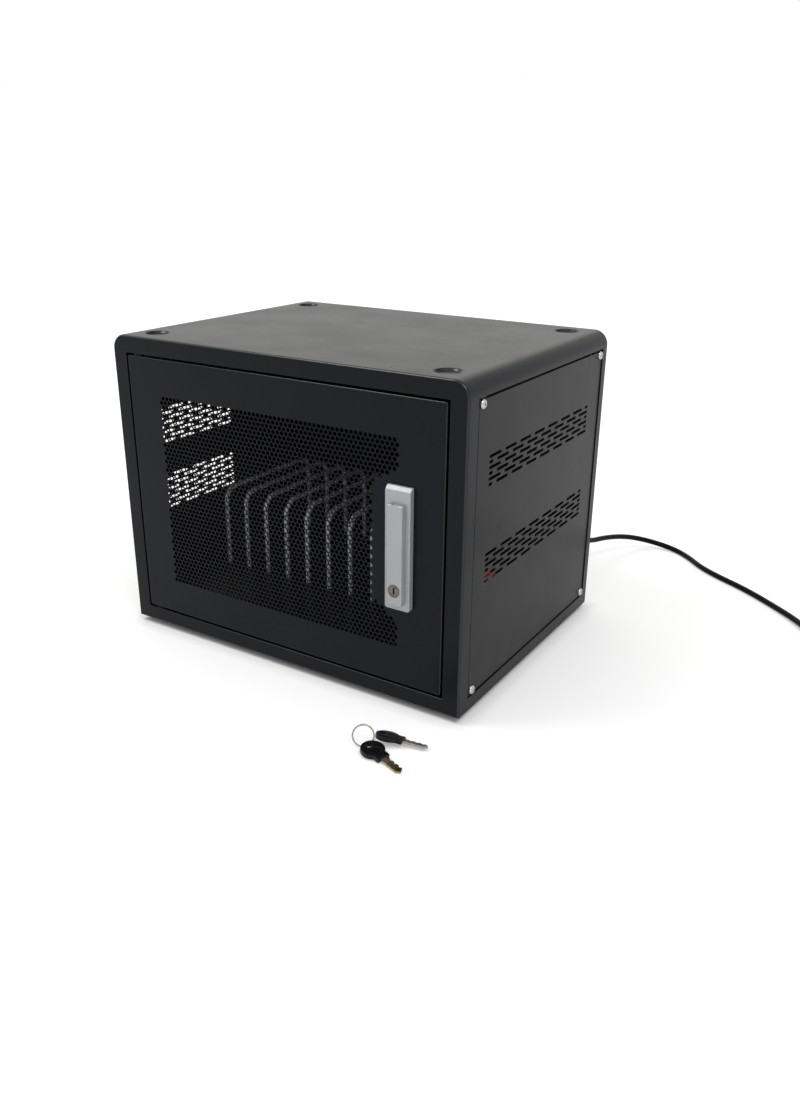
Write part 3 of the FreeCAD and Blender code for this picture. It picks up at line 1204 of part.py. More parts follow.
def make_key(name, x, y, turn, dip, tilt):
    """A key along local X with its bow round the origin, turned and tilted to lie on the floor."""
    bow = part_body(f"{name}_bow_blank")
    half = s.key_bow_diameter / 2
    extrude(bow, "Pad", "XY", (as_size(0), s.key_bow_thickness), circles=[((0, 0), half)])
    extrude(bow, "Pad", "XY", (as_size(0), s.key_bow_thickness),
            [rectangle(0, s.key_neck_length, -s.key_neck_width / 2, s.key_neck_width / 2)])
    extrude(bow, "Pocket", "XY", (as_size(0), s.key_bow_thickness),
            circles=[((s.key_hole_inset - half, 0), s.key_hole_diameter / 2)])
    blade_low = (s.key_bow_thickness - s.key_blade_thickness) / 2
    blade_high = blade_low + s.key_blade_thickness
    root, end = half / 2, s.key_neck_length + s.key_blade_length
    edge = s.key_blade_width / 2
    teeth = [(s.key_neck_length, edge)]
    for notch in (1, 2, 3):
        middle = s.key_neck_length + s.key_blade_length * notch / 4
        teeth += [(middle - s.key_notch_width / 2, edge), (middle, edge - s.key_notch_depth),
                  (middle + s.key_notch_width / 2, edge)]
    blade = part_body(f"{name}_blade_blank")
    extrude(blade, "Pad", "XY", (blade_low, blade_high), [[
        (root, -edge), (end - s.key_tip, -edge), (end, -edge + s.key_tip), (end - s.key_tip, edge),
        *reversed(teeth), (root, edge)]])
    fit = s.key_fit
    slot = box(f"{name}_slot", (root - fit, s.key_neck_length + s.cut_overrun), (-edge - fit, edge + fit),
               (blade_low - fit, blade_high + fit))
    grip = cut(f"{name}_bow", bow, slot)
    steel = group(f"{name}_blade", [blade])
    turned = Rotation(Vector(0, 0, 1), turn) * Rotation(Vector(0, 1, 0), dip) * Rotation(Vector(1, 0, 0), tilt)
    for item in (grip, steel):
        item.Placement = Placement(Vector(float(x), float(y), 0), turned)
    document.recompute()
    lowest = min(item.Shape.BoundBox.ZMin for item in (grip, steel))
    for item in (grip, steel):
        item.Placement.Base.z = -lowest
    return [grip, steel]


near_key = make_key("near_key", s.near_key_x, s.near_key_y, NEAR_KEY_TURN, NEAR_KEY_DIP, NEAR_KEY_TILT)
far_key = make_key("far_key", s.far_key_x, s.far_key_y, FAR_KEY_TURN, FAR_KEY_DIP, FAR_KEY_TILT)
ring = document.addObject("Part::Torus", "key_ring")
bind(ring, Radius1=s.ring_diameter / 2, Radius2=s.ring_wire / 2)
RING_RISE_SHARE = math.sin(math.radians(RING_LEAN))
ring.Placement = Placement(
    Vector(), Rotation(Vector(0, 0, 1), RING_TURN) * Rotation(Vector(1, 0, 0), RING_LEAN))
place(ring, s.ring_x, s.ring_y, s.ring_diameter / 2 * RING_RISE_SHARE + s.ring_wire / 2)

NODES = [
    front_frame, back_panel, top_cover, base_pan, *corner_posts, side_panel_left, side_panel_right,
    side_panel_screws, rubber_feet, door_panel, door_frame, door_pivot_top, door_pivot_bottom,
    hinge_bush_top, hinge_bush_bottom, handle_base, handle_screws, handle_lever, lever_pin, lock_core,
    spindle, latch_cam, cam_nut, strike_plate, device_tray, *dividers, charger_housing, charger_cover,
    port_strip, rocker_bezel, rocker, strain_relief, gland_nut, inner_lead, power_cord, cord_coil,
    cord_tie, plug_body, plug_pins, *near_key, *far_key, ring,
]

document.recompute()
for item in document.Objects:
    if "Invalid" in item.State or "Error" in item.State:
        raise RuntimeError(f"{item.Name} did not recompute: {item.State}")
for node in NODES:
    if node.Shape.isNull() or not node.Shape.isValid():
        raise RuntimeError(f"{node.Label} has no valid shape")

os.makedirs("parts", exist_ok=True)
for node in NODES:
    node.Shape.exportStep(f"parts/{node.Label}.step")
print(len(NODES), "nodes,", sum(len(node.Shape.Solids) for node in NODES), "solids")
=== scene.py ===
import math

import bmesh
import bpy
from mathutils import Matrix, Vector


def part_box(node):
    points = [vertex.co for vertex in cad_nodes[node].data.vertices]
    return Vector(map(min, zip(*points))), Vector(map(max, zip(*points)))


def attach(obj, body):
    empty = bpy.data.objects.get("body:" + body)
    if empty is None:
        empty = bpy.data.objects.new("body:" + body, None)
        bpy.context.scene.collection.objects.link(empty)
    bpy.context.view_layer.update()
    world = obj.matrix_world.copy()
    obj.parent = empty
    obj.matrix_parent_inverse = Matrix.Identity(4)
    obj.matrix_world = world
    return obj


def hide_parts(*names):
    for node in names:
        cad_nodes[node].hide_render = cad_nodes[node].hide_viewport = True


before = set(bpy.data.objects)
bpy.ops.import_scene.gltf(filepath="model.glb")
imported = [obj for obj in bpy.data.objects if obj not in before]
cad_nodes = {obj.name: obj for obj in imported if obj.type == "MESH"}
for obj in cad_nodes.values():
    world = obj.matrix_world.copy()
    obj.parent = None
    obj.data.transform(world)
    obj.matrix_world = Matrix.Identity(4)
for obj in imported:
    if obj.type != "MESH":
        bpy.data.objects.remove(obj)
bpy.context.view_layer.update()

# The charging cabinet's looks. Metres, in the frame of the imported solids: +Z is
# up, the door faces -Y, and the origin lies on the floor under the casing.

# Sizes and places that several pieces share

LEFT, RIGHT = -0.202, 0.202
FRONT, BACK = -0.153, 0.153
BOTTOM, TOP = 0.006, 0.316
SHEET = 0.0012
ROLL = 0.015
FRONT_BAND_END, BACK_BAND_START = -0.135, 0.141
TOP_START = -0.143
SKIRT, BASE_FLANGE = 0.299, 0.019
OPENING = {"x": (-0.1848, 0.1848), "z": (0.022, 0.299)}
DOOR_X, DOOR_LOW, DOOR_HIGH = 0.1826, 0.0242, 0.2968
HANDLE_X, HANDLE_LOW, HANDLE_HIGH = 0.139, 0.1025, 0.2185
HANDLE_MIDDLE, SPINDLE_Z, LOCK_Z = 0.1605, 0.201, 0.123
HUB_BORE = 0.00655
LEVER_FACE, LEVER_REAR, LEVER_LOW, LEVER_HIGH = -0.1641, -0.1591, 0.1085, 0.2035
GLAND_X, GLAND_Z = 0.150, 0.068
PLUG_X, PLUG_START, PLUG_Z = 0.53306, 0.28403, 0.019
FOOT_PLACES = [(x, y) for x in (-0.167, 0.167) for y in (-0.125, 0.125)]
SCREW_PLACES = [(y, z) for y in (-0.1275, 0.1335) for z in (0.025, 0.293)]

# Limits for picking and welding, and turns

NEAR, DOUBLED = 1e-5, 1e-6
SHARP, SMOOTH = 0.6, math.radians(35)
FACING = 0.9
QUARTER = math.pi / 2
UNTURNED, AHEAD = (0, 0, 0), (QUARTER, 0, 0)


# Modelling by hand: one piece at a time, picked by place

def only(piece):
    """Makes a piece the one that is selected and active."""
    bpy.ops.object.select_all(action="DESELECT")
    piece.select_set(True)
    bpy.context.view_layer.objects.active = piece


def begin(name, add, **options):
    """Adds a primitive by itself and puts its place into its mesh."""
    bpy.ops.object.select_all(action="DESELECT")
    add(**options)
    piece = bpy.context.object
    piece.name = piece.data.name = name
    bpy.ops.object.transform_apply(location=True, rotation=True, scale=True)
    return piece


def block(name, low, high):
    """A cube between two corners, as the start of a piece or as a tool."""
    low, high = Vector(low), Vector(high)
    return begin(name, bpy.ops.mesh.primitive_cube_add, size=1, location=(low + high) / 2,
                 scale=high - low)


def drum(name, radius, depth, place, sides=40, turn=UNTURNED):
    """A cylinder, as the start of a piece or as a tool."""
    return begin(name, bpy.ops.mesh.primitive_cylinder_add, vertices=sides, radius=radius,
                 depth=depth, location=place, rotation=turn)


def flat_sheet(name, outlines, half=0.0, edge=0.0):
    """A flat sheet from a filled drawing: its outline, then its holes, made a mesh."""
    drawing = bpy.data.curves.new(name, "CURVE")
    drawing.dimensions = "2D"
    drawing.fill_mode = "BOTH"
    drawing.extrude = half - edge
    drawing.bevel_depth = edge
    drawing.bevel_resolution = 1
    drawing.offset = -edge
    for outline in outlines:
        line = drawing.splines.new("POLY")
        line.points.add(len(outline) - 1)
        line.points.foreach_set("co", [value for u, v in outline for value in (u, v, 0, 1)])
        line.use_cyclic_u = True
    sheet = bpy.data.objects.new(name, drawing)
    bpy.context.scene.collection.objects.link(sheet)
    only(sheet)
    bpy.ops.object.convert(target="MESH")
    return bpy.context.object


def stand(piece, turn, place):
    """Turns a piece in degrees, moves it, and keeps both in its mesh."""
    only(piece)
    piece.rotation_euler = [math.radians(angle) for angle in turn]
    piece.location = place
    bpy.ops.object.transform_apply(location=True, rotation=True, scale=True)
    return piece


def edit(piece):
    only(piece)
    bpy.ops.object.mode_set(mode="EDIT")


def done():
    bpy.ops.object.mode_set(mode="OBJECT")


def pick(piece, kind, test):
    """In edit mode, selects just the faces or edges that pass the test."""
    bpy.ops.mesh.select_mode(type=kind)
    bpy.ops.mesh.select_all(action="DESELECT")
    shape = bmesh.from_edit_mesh(piece.data)
    shape.normal_update()
    for part in (shape.faces if kind == "FACE" else shape.edges):
        if test(part):
            part.select_set(True)
    bmesh.update_edit_mesh(piece.data)


def lies(part, **planes):
    """True where the whole face or edge lies in the given planes."""
    return all(abs(corner.co["xyz".index(axis)] - place) < NEAR
               for axis, place in planes.items() for corner in part.verts)


def middle(part):
    return sum((corner.co for corner in part.verts), Vector()) / len(part.verts)


def along(edge, axis):
    step = edge.verts[1].co - edge.verts[0].co
    return abs(step["xyz".index(axis)]) > 0.999 * step.length


def sharp(edge, least=SHARP):
    """True where two faces meet at more than the least angle."""
    return len(edge.link_faces) == 2 and edge.calc_face_angle() > least


def looks(face, direction):
    return face.normal.dot(Vector(direction)) > FACING


def within(point, **ranges):
    return all(low - NEAR <= point["xyz".index(axis)] <= high + NEAR
               for axis, (low, high) in ranges.items())


def draw_out(y=0, z=0):
    """Draws the picked edges or faces out by a step."""
    bpy.ops.mesh.extrude_region_move(TRANSFORM_OT_translate={"value": (0, y, z)})


def set_in(width):
    """Draws a border inside the picked face."""
    bpy.ops.mesh.inset(thickness=width)


def resize(shares, centre):
    bpy.ops.transform.resize(value=shares, center_override=centre)


def round_off(width, segments):
    """Rounds the picked edges, or cuts them flat with one segment."""
    bpy.ops.mesh.bevel(offset=width, segments=segments, affect="EDGES")


def weld(gap=DOUBLED):
    """Joins the doubled corners of the whole piece."""
    bpy.ops.mesh.select_all(action="SELECT")
    bpy.ops.mesh.remove_doubles(threshold=gap)


def turn_outwards():
    """Points all faces of a closed piece outwards."""
    bpy.ops.mesh.select_all(action="SELECT")
    bpy.ops.mesh.normals_make_consistent(inside=False)


def cut_along(**places):
    """Cuts the whole piece along planes across an axis, without taking anything away."""
    for axis, stations in places.items():
        normal = [float(axis == name) for name in "xyz"]
        for station in stations:
            bpy.ops.mesh.select_all(action="SELECT")
            bpy.ops.mesh.bisect(plane_co=[station * share for share in normal], plane_no=normal)


def face_outwards(piece, sample, direction):
    """Points an open sheet's faces one way: the face nearest the sample looks along the direction."""
    bpy.ops.mesh.select_mode(type="FACE")
    turn_outwards()
    shape = bmesh.from_edit_mesh(piece.data)
    shape.normal_update()
    nearest = min(shape.faces, key=lambda face: (middle(face) - Vector(sample)).length)
    if nearest.normal.dot(Vector(direction)) < 0:
        bpy.ops.mesh.flip_normals()


def modify(piece, kind, **settings):
    """Adds a modifier and applies it at once."""
    only(piece)
    modifier = piece.modifiers.new(kind.lower(), kind)
    for name, value in settings.items():
        setattr(modifier, name, value)
    bpy.ops.object.modifier_apply(modifier=modifier.name)


def thicken(piece, gauge=SHEET):
    """Gives an open sheet its wall, away from its outer side."""
    modify(piece, "SOLIDIFY", thickness=gauge, offset=-1, use_even_offset=True)


def join(first, *others):
    """Joins pieces into the first one."""
    only(first)
    for other in others:
        other.select_set(True)
    bpy.ops.object.join()
    return first


def cut_with(piece, tool):
    """Cuts a tool's shape out of a piece and takes the tool away."""
    modify(piece, "BOOLEAN", operation="DIFFERENCE", object=tool, solver="EXACT")
    bpy.data.objects.remove(tool)


def copies(piece, places):
    """One copy of a piece, with its own mesh, for each turn and place, joined into one piece."""
    made = []
    for turn, place in places:
        only(piece)
        bpy.ops.object.duplicate(linked=False)
        made.append(stand(bpy.context.object, turn, place))
    name = piece.name
    bpy.data.objects.remove(piece)
    joined = join(*made)
    joined.name = joined.data.name = name
    return joined


def dress(piece, slot, body, replaced):
    """Shades a finished piece, gives it its slot's finish and puts it on its body."""
    only(piece)
    bpy.ops.object.shade_smooth_by_angle(angle=SMOOTH)
    modify(piece, "WEIGHTED_NORMAL", keep_sharp=True)
    piece.data.materials.clear()
    piece.data.materials.append(FINISHES[slot])
    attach(piece, body)
    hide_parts(*replaced)
    return piece


def ring_of(count, radius, centre):
    turns = [2 * math.pi * step / count for step in range(count)]
    return [(centre[0] + radius * math.cos(turn), centre[1] + radius * math.sin(turn)) for turn in turns]


def rectangle(left, right, low, high):
    return [(left, low), (right, low), (right, high), (left, high)]


# Finishes: nodes, then the node groups that several finishes share

def feed(tree, socket, value):
    if isinstance(value, bpy.types.NodeSocket):
        tree.links.new(value, socket)
    else:
        socket.default_value = value


def put(tree, kind, settings=(), **inputs):
    """Adds a node, sets it up and feeds its sockets by name."""
    node = tree.nodes.new("ShaderNode" + kind)
    for name, value in dict(settings).items():
        setattr(node, name, value)
    for label, value in inputs.items():
        feed(tree, node.inputs[label.replace("_", " ")], value)
    return node


def noise(tree, place, **inputs):
    return put(tree, "TexNoise", Vector=place, **inputs).outputs["Fac"]


def object_place(tree):
    return put(tree, "TexCoord").outputs["Object"]


def reckon(tree, operation, *values):
    """A sum, product or the like, of sockets or numbers."""
    node = put(tree, "Math", {"operation": operation})
    for socket, value in zip(node.inputs, values):
        feed(tree, socket, value)
    return node.outputs["Value"]


def times(tree, first, second):
    return reckon(tree, "MULTIPLY", first, second)


def blend(tree, first, *shares):
    """A value plus shares of others, each given as (value, share)."""
    for value, share in shares:
        first = reckon(tree, "ADD", first, times(tree, value, share))
    return first


def spread(tree, value, low, high, start=0.0, end=1.0):
    """Maps a value that runs from start to end onto low to high."""
    node = put(tree, "MapRange", Value=value, From_Min=start, From_Max=end, To_Min=low, To_Max=high)
    return node.outputs["Result"]


def tones(tree, value, *stops):
    """A colour from a value: stops are (place, colour)."""
    node = put(tree, "ValToRGB", Fac=value)
    ramp = node.color_ramp
    while len(ramp.elements) < len(stops):
        ramp.elements.new(0.5)
    for element, (place, colour) in zip(ramp.elements, stops):
        element.position = place
        element.color = (*colour, 1)
    return node.outputs["Color"]


def shared_effect(name, label, kind, value, outputs):
    """A node group with one input, and its two end nodes."""
    group = bpy.data.node_groups.new(name, "ShaderNodeTree")
    socket = group.interface.new_socket(label, in_out="INPUT", socket_type="NodeSocket" + kind)
    socket.default_value = value
    for output in outputs:
        group.interface.new_socket(output, in_out="OUTPUT", socket_type="NodeSocketFloat")
    given, result = group.nodes.new("NodeGroupInput"), group.nodes.new("NodeGroupOutput")
    return group, given.outputs[label], result.inputs


def coat_grain_effect():
    """The fine skin of a sprayed or moulded surface, and slow changes of tone over it."""
    group, grain, result = shared_effect("coat_grain", "Grain", "Float", 900.0, ["Height", "Mottle"])
    place = object_place(group)
    feed(group, result["Height"], noise(group, place, Scale=grain, Detail=2.0, Roughness=0.6))
    feed(group, result["Mottle"], noise(group, place, Scale=11.0, Detail=4.0, Roughness=0.55))
    return group


def handling_effect():
    """Where hands and cloths have been, and the dust on what faces up."""
    group, patch, result = shared_effect("handling", "Patch", "Float", 16.0, ["Smudge", "Dust"])
    place = object_place(group)
    patches = noise(group, place, Scale=patch, Detail=5.0, Roughness=0.62)
    specks = noise(group, place, Scale=420.0, Detail=2.0)
    normal = put(group, "NewGeometry").outputs["Normal"]
    rise = put(group, "SeparateXYZ", Vector=normal).outputs["Z"]
    upward = spread(group, rise, 0.0, 1.0, start=0.55)
    feed(group, result["Smudge"], spread(group, patches, 0.0, 1.0, start=0.4, end=0.68))
    feed(group, result["Dust"],
         times(group, upward, spread(group, specks, 0.0, 1.0, start=0.5, end=0.75)))
    return group


def draw_lines_effect():
    """Fine lines in one direction, left by drawing, rolling or brushing metal, and scratches."""
    group, stretch, result = shared_effect(
        "draw_lines", "Stretch", "Vector", (900.0, 900.0, 40.0), ["Lines", "Scratch"])
    place = object_place(group)
    stretched = put(group, "Mapping", Vector=place, Scale=stretch).outputs["Vector"]
    cells = put(group, "TexVoronoi", {"feature": "DISTANCE_TO_EDGE"}, Vector=place, Scale=230.0)
    feed(group, result["Lines"], noise(group, stretched, Scale=1.0, Detail=3.0, Roughness=0.6))
    feed(group, result["Scratch"], spread(group, cells.outputs["Distance"], 1.0, 0.0, end=0.05))
    return group


def strap_weave_effect():
    """Threads over and under each other in a woven strap."""
    group, threads, result = shared_effect("strap_weave", "Threads", "Float", 700.0, ["Height", "Fuzz"])
    place = object_place(group)
    across, down = [put(group, "TexWave", {"bands_direction": direction}, Vector=place, Scale=threads)
                    for direction in ("X", "DIAGONAL")]
    feed(group, result["Height"], times(group, across.outputs["Fac"], down.outputs["Fac"]))
    feed(group, result["Fuzz"], noise(group, place, Scale=1800.0, Detail=3.0))
    return group


def front_fold_effect():
    """The folds round the casing's front and the door, where the coat lies thin and smooth."""
    group, reach, result = shared_effect("front_fold", "Reach", "Float", 0.25, ["Fold"])
    normal = put(group, "TexCoord").outputs["Normal"]
    facing = reckon(group, "ABSOLUTE", put(group, "SeparateXYZ", Vector=normal).outputs["Y"])
    rising = spread(group, facing, 0.0, 1.0, start=reach, end=0.5)
    falling = spread(group, facing, 1.0, 0.0, start=0.84, end=0.97)
    feed(group, result["Fold"], times(group, rising, falling))
    return group


COAT_GRAIN = coat_grain_effect()
FRONT_FOLD = front_fold_effect()
HANDLING = handling_effect()
DRAW_LINES = draw_lines_effect()
STRAP_WEAVE = strap_weave_effect()


def new_finish(name, **constants):
    """A material with its shader's fixed values set, its nodes and the shader's sockets."""
    finish = bpy.data.materials.new(name)
    finish.use_nodes = True
    sockets = finish.node_tree.nodes["Principled BSDF"].inputs
    for label, value in constants.items():
        sockets[label.replace("_", " ")].default_value = value
    return finish, finish.node_tree, sockets


def effect(tree, group, **inputs):
    node = tree.nodes.new("ShaderNodeGroup")
    node.node_tree = group
    for label, value in inputs.items():
        feed(tree, node.inputs[label], value)
    return node.outputs


def relief(tree, sockets, height, depth, strength):
    bump = put(tree, "Bump", Height=height, Distance=depth, Strength=strength)
    tree.links.new(bump.outputs["Normal"], sockets["Normal"])


def powder_coat(name, dark, light, rough):
    """Satin powder coat: a fine pebbled skin, slow changes of tone, faint marks and dust."""
    mottle_share, grain_share, dust_share, dust_rough, fold_coat = 0.7, 0.3, 0.12, 0.03, 0.6
    finish, tree, sockets = new_finish(
        name, Specular_IOR_Level=0.13, Specular_Tint=(0.88, 0.92, 1.0, 1), Coat_Roughness=0.18)
    skin = effect(tree, COAT_GRAIN, Grain=850.0)
    marks = effect(tree, HANDLING, Patch=15.0)
    tone = blend(tree, times(tree, skin["Mottle"], mottle_share),
                 (skin["Height"], grain_share), (marks["Dust"], dust_share))
    feed(tree, sockets["Base Color"], tones(tree, tone, (0.3, dark), (0.8, light)))
    feed(tree, sockets["Roughness"],
         blend(tree, spread(tree, marks["Smudge"], *rough), (marks["Dust"], dust_rough)))
    feed(tree, sockets["Coat Weight"], times(tree, effect(tree, FRONT_FOLD)["Fold"], fold_coat))
    relief(tree, sockets, skin["Height"], depth=0.00012, strength=0.35)
    return finish


def drawn_metal(name, dark, light, rough, stretch, metallic=1.0):
    """Bare or plated metal with drawn lines, a few scratches and tarnish."""
    line_share, smudge_share, scratch_rough = 0.6, 0.4, 0.1
    finish, tree, sockets = new_finish(name, Metallic=metallic)
    lines = effect(tree, DRAW_LINES, Stretch=stretch)
    marks = effect(tree, HANDLING, Patch=90.0)
    tone = blend(tree, times(tree, lines["Lines"], line_share), (marks["Smudge"], smudge_share))
    feed(tree, sockets["Base Color"], tones(tree, tone, (0.2, dark), (0.75, light)))
    feed(tree, sockets["Roughness"],
         blend(tree, spread(tree, marks["Smudge"], *rough), (lines["Scratch"], scratch_rough)))
    relief(tree, sockets, lines["Lines"], depth=0.00003, strength=0.3)
    return finish


def moulded(name, dark, light, rough, grain, **constants):
    """Moulded plastic or rubber with a fine skin, handled here and there."""
    mottle_share, dust_share = 0.6, 0.5
    finish, tree, sockets = new_finish(name, **constants)
    skin = effect(tree, COAT_GRAIN, Grain=grain)
    marks = effect(tree, HANDLING, Patch=60.0)
    tone = blend(tree, times(tree, skin["Mottle"], mottle_share), (marks["Dust"], dust_share))
    feed(tree, sockets["Base Color"], tones(tree, tone, (0.2, dark), (0.8, light)))
    feed(tree, sockets["Roughness"], spread(tree, marks["Smudge"], *rough))
    relief(tree, sockets, skin["Height"], depth=0.00006, strength=0.4)
    return finish


def lacquered_grey(name, dark, light):
    """Silver-grey lacquer of the swing handle, with fine flakes under it."""
    flake_share, mottle_share = 0.5, 0.6
    finish, tree, sockets = new_finish(name, Metallic=0.25, Coat_Roughness=0.25, Coat_Weight=0.25)
    skin = effect(tree, COAT_GRAIN, Grain=1500.0)
    marks = effect(tree, HANDLING, Patch=45.0)
    flakes = put(tree, "TexVoronoi", Vector=object_place(tree), Scale=2600.0).outputs["Distance"]
    tone = blend(tree, times(tree, flakes, flake_share), (skin["Mottle"], mottle_share))
    feed(tree, sockets["Base Color"], tones(tree, tone, (0.2, dark), (0.9, light)))
    feed(tree, sockets["Roughness"], spread(tree, marks["Smudge"], 0.34, 0.46))
    relief(tree, sockets, skin["Height"], depth=0.00004, strength=0.3)
    return finish


def lit_red(name):
    """The translucent red of the mains switch, glowing from inside."""
    finish, tree, sockets = new_finish(name, Emission_Strength=0.25, Specular_IOR_Level=0.5)
    skin = effect(tree, COAT_GRAIN, Grain=700.0)
    marks = effect(tree, HANDLING, Patch=80.0)
    for label, dark, light in (("Base Color", (0.45, 0.02, 0.015), (0.7, 0.04, 0.03)),
                               ("Emission Color", (0.5, 0.03, 0.015), (0.9, 0.08, 0.04))):
        feed(tree, sockets[label], tones(tree, skin["Mottle"], (0.2, dark), (0.8, light)))
    feed(tree, sockets["Roughness"], spread(tree, marks["Smudge"], 0.22, 0.38))
    relief(tree, sockets, skin["Height"], depth=0.00004, strength=0.3)
    return finish


def woven_strap(name, dark, light):
    """The matt weave of the strap round the coil."""
    weave_share, fuzz_share = 0.7, 0.4
    finish, tree, sockets = new_finish(name, Sheen_Weight=0.3, Specular_IOR_Level=0.2)
    weave = effect(tree, STRAP_WEAVE, Threads=620.0)
    tone = blend(tree, times(tree, weave["Height"], weave_share), (weave["Fuzz"], fuzz_share))
    feed(tree, sockets["Base Color"], tones(tree, tone, (0.1, dark), (0.9, light)))
    feed(tree, sockets["Roughness"], spread(tree, weave["Fuzz"], 0.75, 0.95))
    relief(tree, sockets, weave["Height"], depth=0.0003, strength=0.8)
    return finish


FINISHES = {
    "black_powder_coat": powder_coat(
        "casing_black_powder", dark=(0.0036, 0.0038, 0.0048), light=(0.0064, 0.0067, 0.0082),
        rough=(0.32, 0.37)),
    "nickel_screws": drawn_metal(
        "screw_nickel", dark=(0.40, 0.39, 0.38), light=(0.60, 0.59, 0.57),
        rough=(0.16, 0.28), stretch=(700.0, 700.0, 700.0)),
    "foot_rubber": moulded(
        "foot_rubber_black", dark=(0.010, 0.010, 0.010), light=(0.024, 0.024, 0.024),
        rough=(0.70, 0.86), grain=900.0),
    "bush_nylon": moulded(
        "hinge_bush_nylon", dark=(0.004, 0.004, 0.005), light=(0.008, 0.008, 0.009),
        rough=(0.50, 0.62), grain=700.0, Specular_IOR_Level=0.12),
    "zinc_plated_steel": drawn_metal(
        "latch_zinc", dark=(0.42, 0.44, 0.47), light=(0.66, 0.67, 0.68),
        rough=(0.28, 0.45), stretch=(500.0, 60.0, 500.0)),
    "grey_lacquer": lacquered_grey(
        "handle_grey_lacquer", dark=(0.29, 0.297, 0.303), light=(0.38, 0.388, 0.395)),
    "lock_brass_dark": drawn_metal(
        "lock_core_bronze", dark=(0.10, 0.090, 0.080), light=(0.21, 0.192, 0.172),
        rough=(0.30, 0.45), stretch=(1400.0, 200.0, 200.0)),
    "divider_wire": drawn_metal(
        "divider_bright_wire", dark=(0.68, 0.69, 0.73), light=(0.84, 0.85, 0.88),
        rough=(0.36, 0.48), stretch=(900.0, 900.0, 60.0), metallic=0.1),
    "unit_plastic": moulded(
        "charger_case_plastic", dark=(0.018, 0.018, 0.019), light=(0.035, 0.035, 0.037),
        rough=(0.45, 0.60), grain=1300.0),
    "port_plastic": moulded(
        "port_black_plastic", dark=(0.010, 0.010, 0.011), light=(0.020, 0.020, 0.021),
        rough=(0.28, 0.42), grain=1600.0),
    "red_plastic": lit_red("rocker_lit_red"),
    "cord_jacket": moulded(
        "cord_black_jacket", dark=(0.0018, 0.0018, 0.0020), light=(0.0040, 0.0040, 0.0043),
        rough=(0.24, 0.38), grain=600.0, Specular_IOR_Level=0.08),
    "tie_fabric": woven_strap(
        "coil_tie_strap", dark=(0.012, 0.012, 0.013), light=(0.045, 0.045, 0.048)),
    "plug_plastic": moulded(
        "plug_black_plastic", dark=(0.010, 0.010, 0.010), light=(0.020, 0.020, 0.021),
        rough=(0.34, 0.50), grain=1100.0),
    "pin_nickel": drawn_metal(
        "plug_pin_nickel", dark=(0.66, 0.65, 0.62), light=(0.84, 0.83, 0.80),
        rough=(0.14, 0.26), stretch=(900.0, 50.0, 900.0)),
    "key_plastic": moulded(
        "key_bow_plastic", dark=(0.0028, 0.0028, 0.0042), light=(0.0065, 0.0065, 0.0088),
        rough=(0.30, 0.44), grain=1500.0, Specular_IOR_Level=0.22),
    "key_brass": drawn_metal(
        "near_key_brass", dark=(0.24, 0.19, 0.11), light=(0.44, 0.36, 0.21),
        rough=(0.24, 0.40), stretch=(120.0, 1500.0, 900.0)),
    "key_nickel": drawn_metal(
        "far_key_nickel", dark=(0.27, 0.255, 0.235), light=(0.43, 0.41, 0.385),
        rough=(0.22, 0.38), stretch=(150.0, 1500.0, 900.0)),
}

for node in cad_nodes.values():
    for place in node.material_slots:
        place.material = FINISHES[place.material.name]


# Casing

def make_front_frame():
    """The folded front: rounded upper corners, the door opening and its jambs."""
    fold, jamb_fold, jamb, upright = 0.0025, 0.0009, 0.016, 0.5
    skin = block("front_frame_skin", (LEFT, FRONT, BOTTOM), (RIGHT, FRONT_BAND_END, TOP))
    edit(skin)
    pick(skin, "EDGE", lambda edge: along(edge, "y") and lies(edge, z=TOP))
    round_off(ROLL, segments=10)
    pick(skin, "FACE", lambda face: lies(face, y=FRONT_BAND_END))
    bpy.ops.mesh.delete(type="ONLY_FACE")
    pick(skin, "EDGE", lambda edge: lies(edge, y=FRONT))
    round_off(fold, segments=5)
    cut_along(**OPENING)
    pick(skin, "FACE", lambda face: lies(face, y=FRONT) and within(middle(face), **OPENING))
    bpy.ops.mesh.delete(type="FACE")
    pick(skin, "EDGE", lambda edge: edge.is_boundary and lies(edge, y=FRONT))
    draw_out(y=jamb)
    cut_along(y=[TOP_START])
    pick(skin, "FACE", lambda face: middle(face).z > SKIRT + NEAR and middle(face).y > TOP_START)
    bpy.ops.mesh.delete(type="FACE")
    pick(skin, "EDGE", lambda edge: lies(edge, y=FRONT) and within(middle(edge), **OPENING)
         and len(edge.link_faces) == 2
         and any(abs(face.normal.y) < upright for face in edge.link_faces))
    round_off(jamb_fold, segments=3)
    face_outwards(skin, (0, FRONT, (OPENING["z"][1] + TOP) / 2), (0, -1, 0))
    done()
    thicken(skin)
    return dress(skin, "black_powder_coat", "cabinet", ["front_frame"])


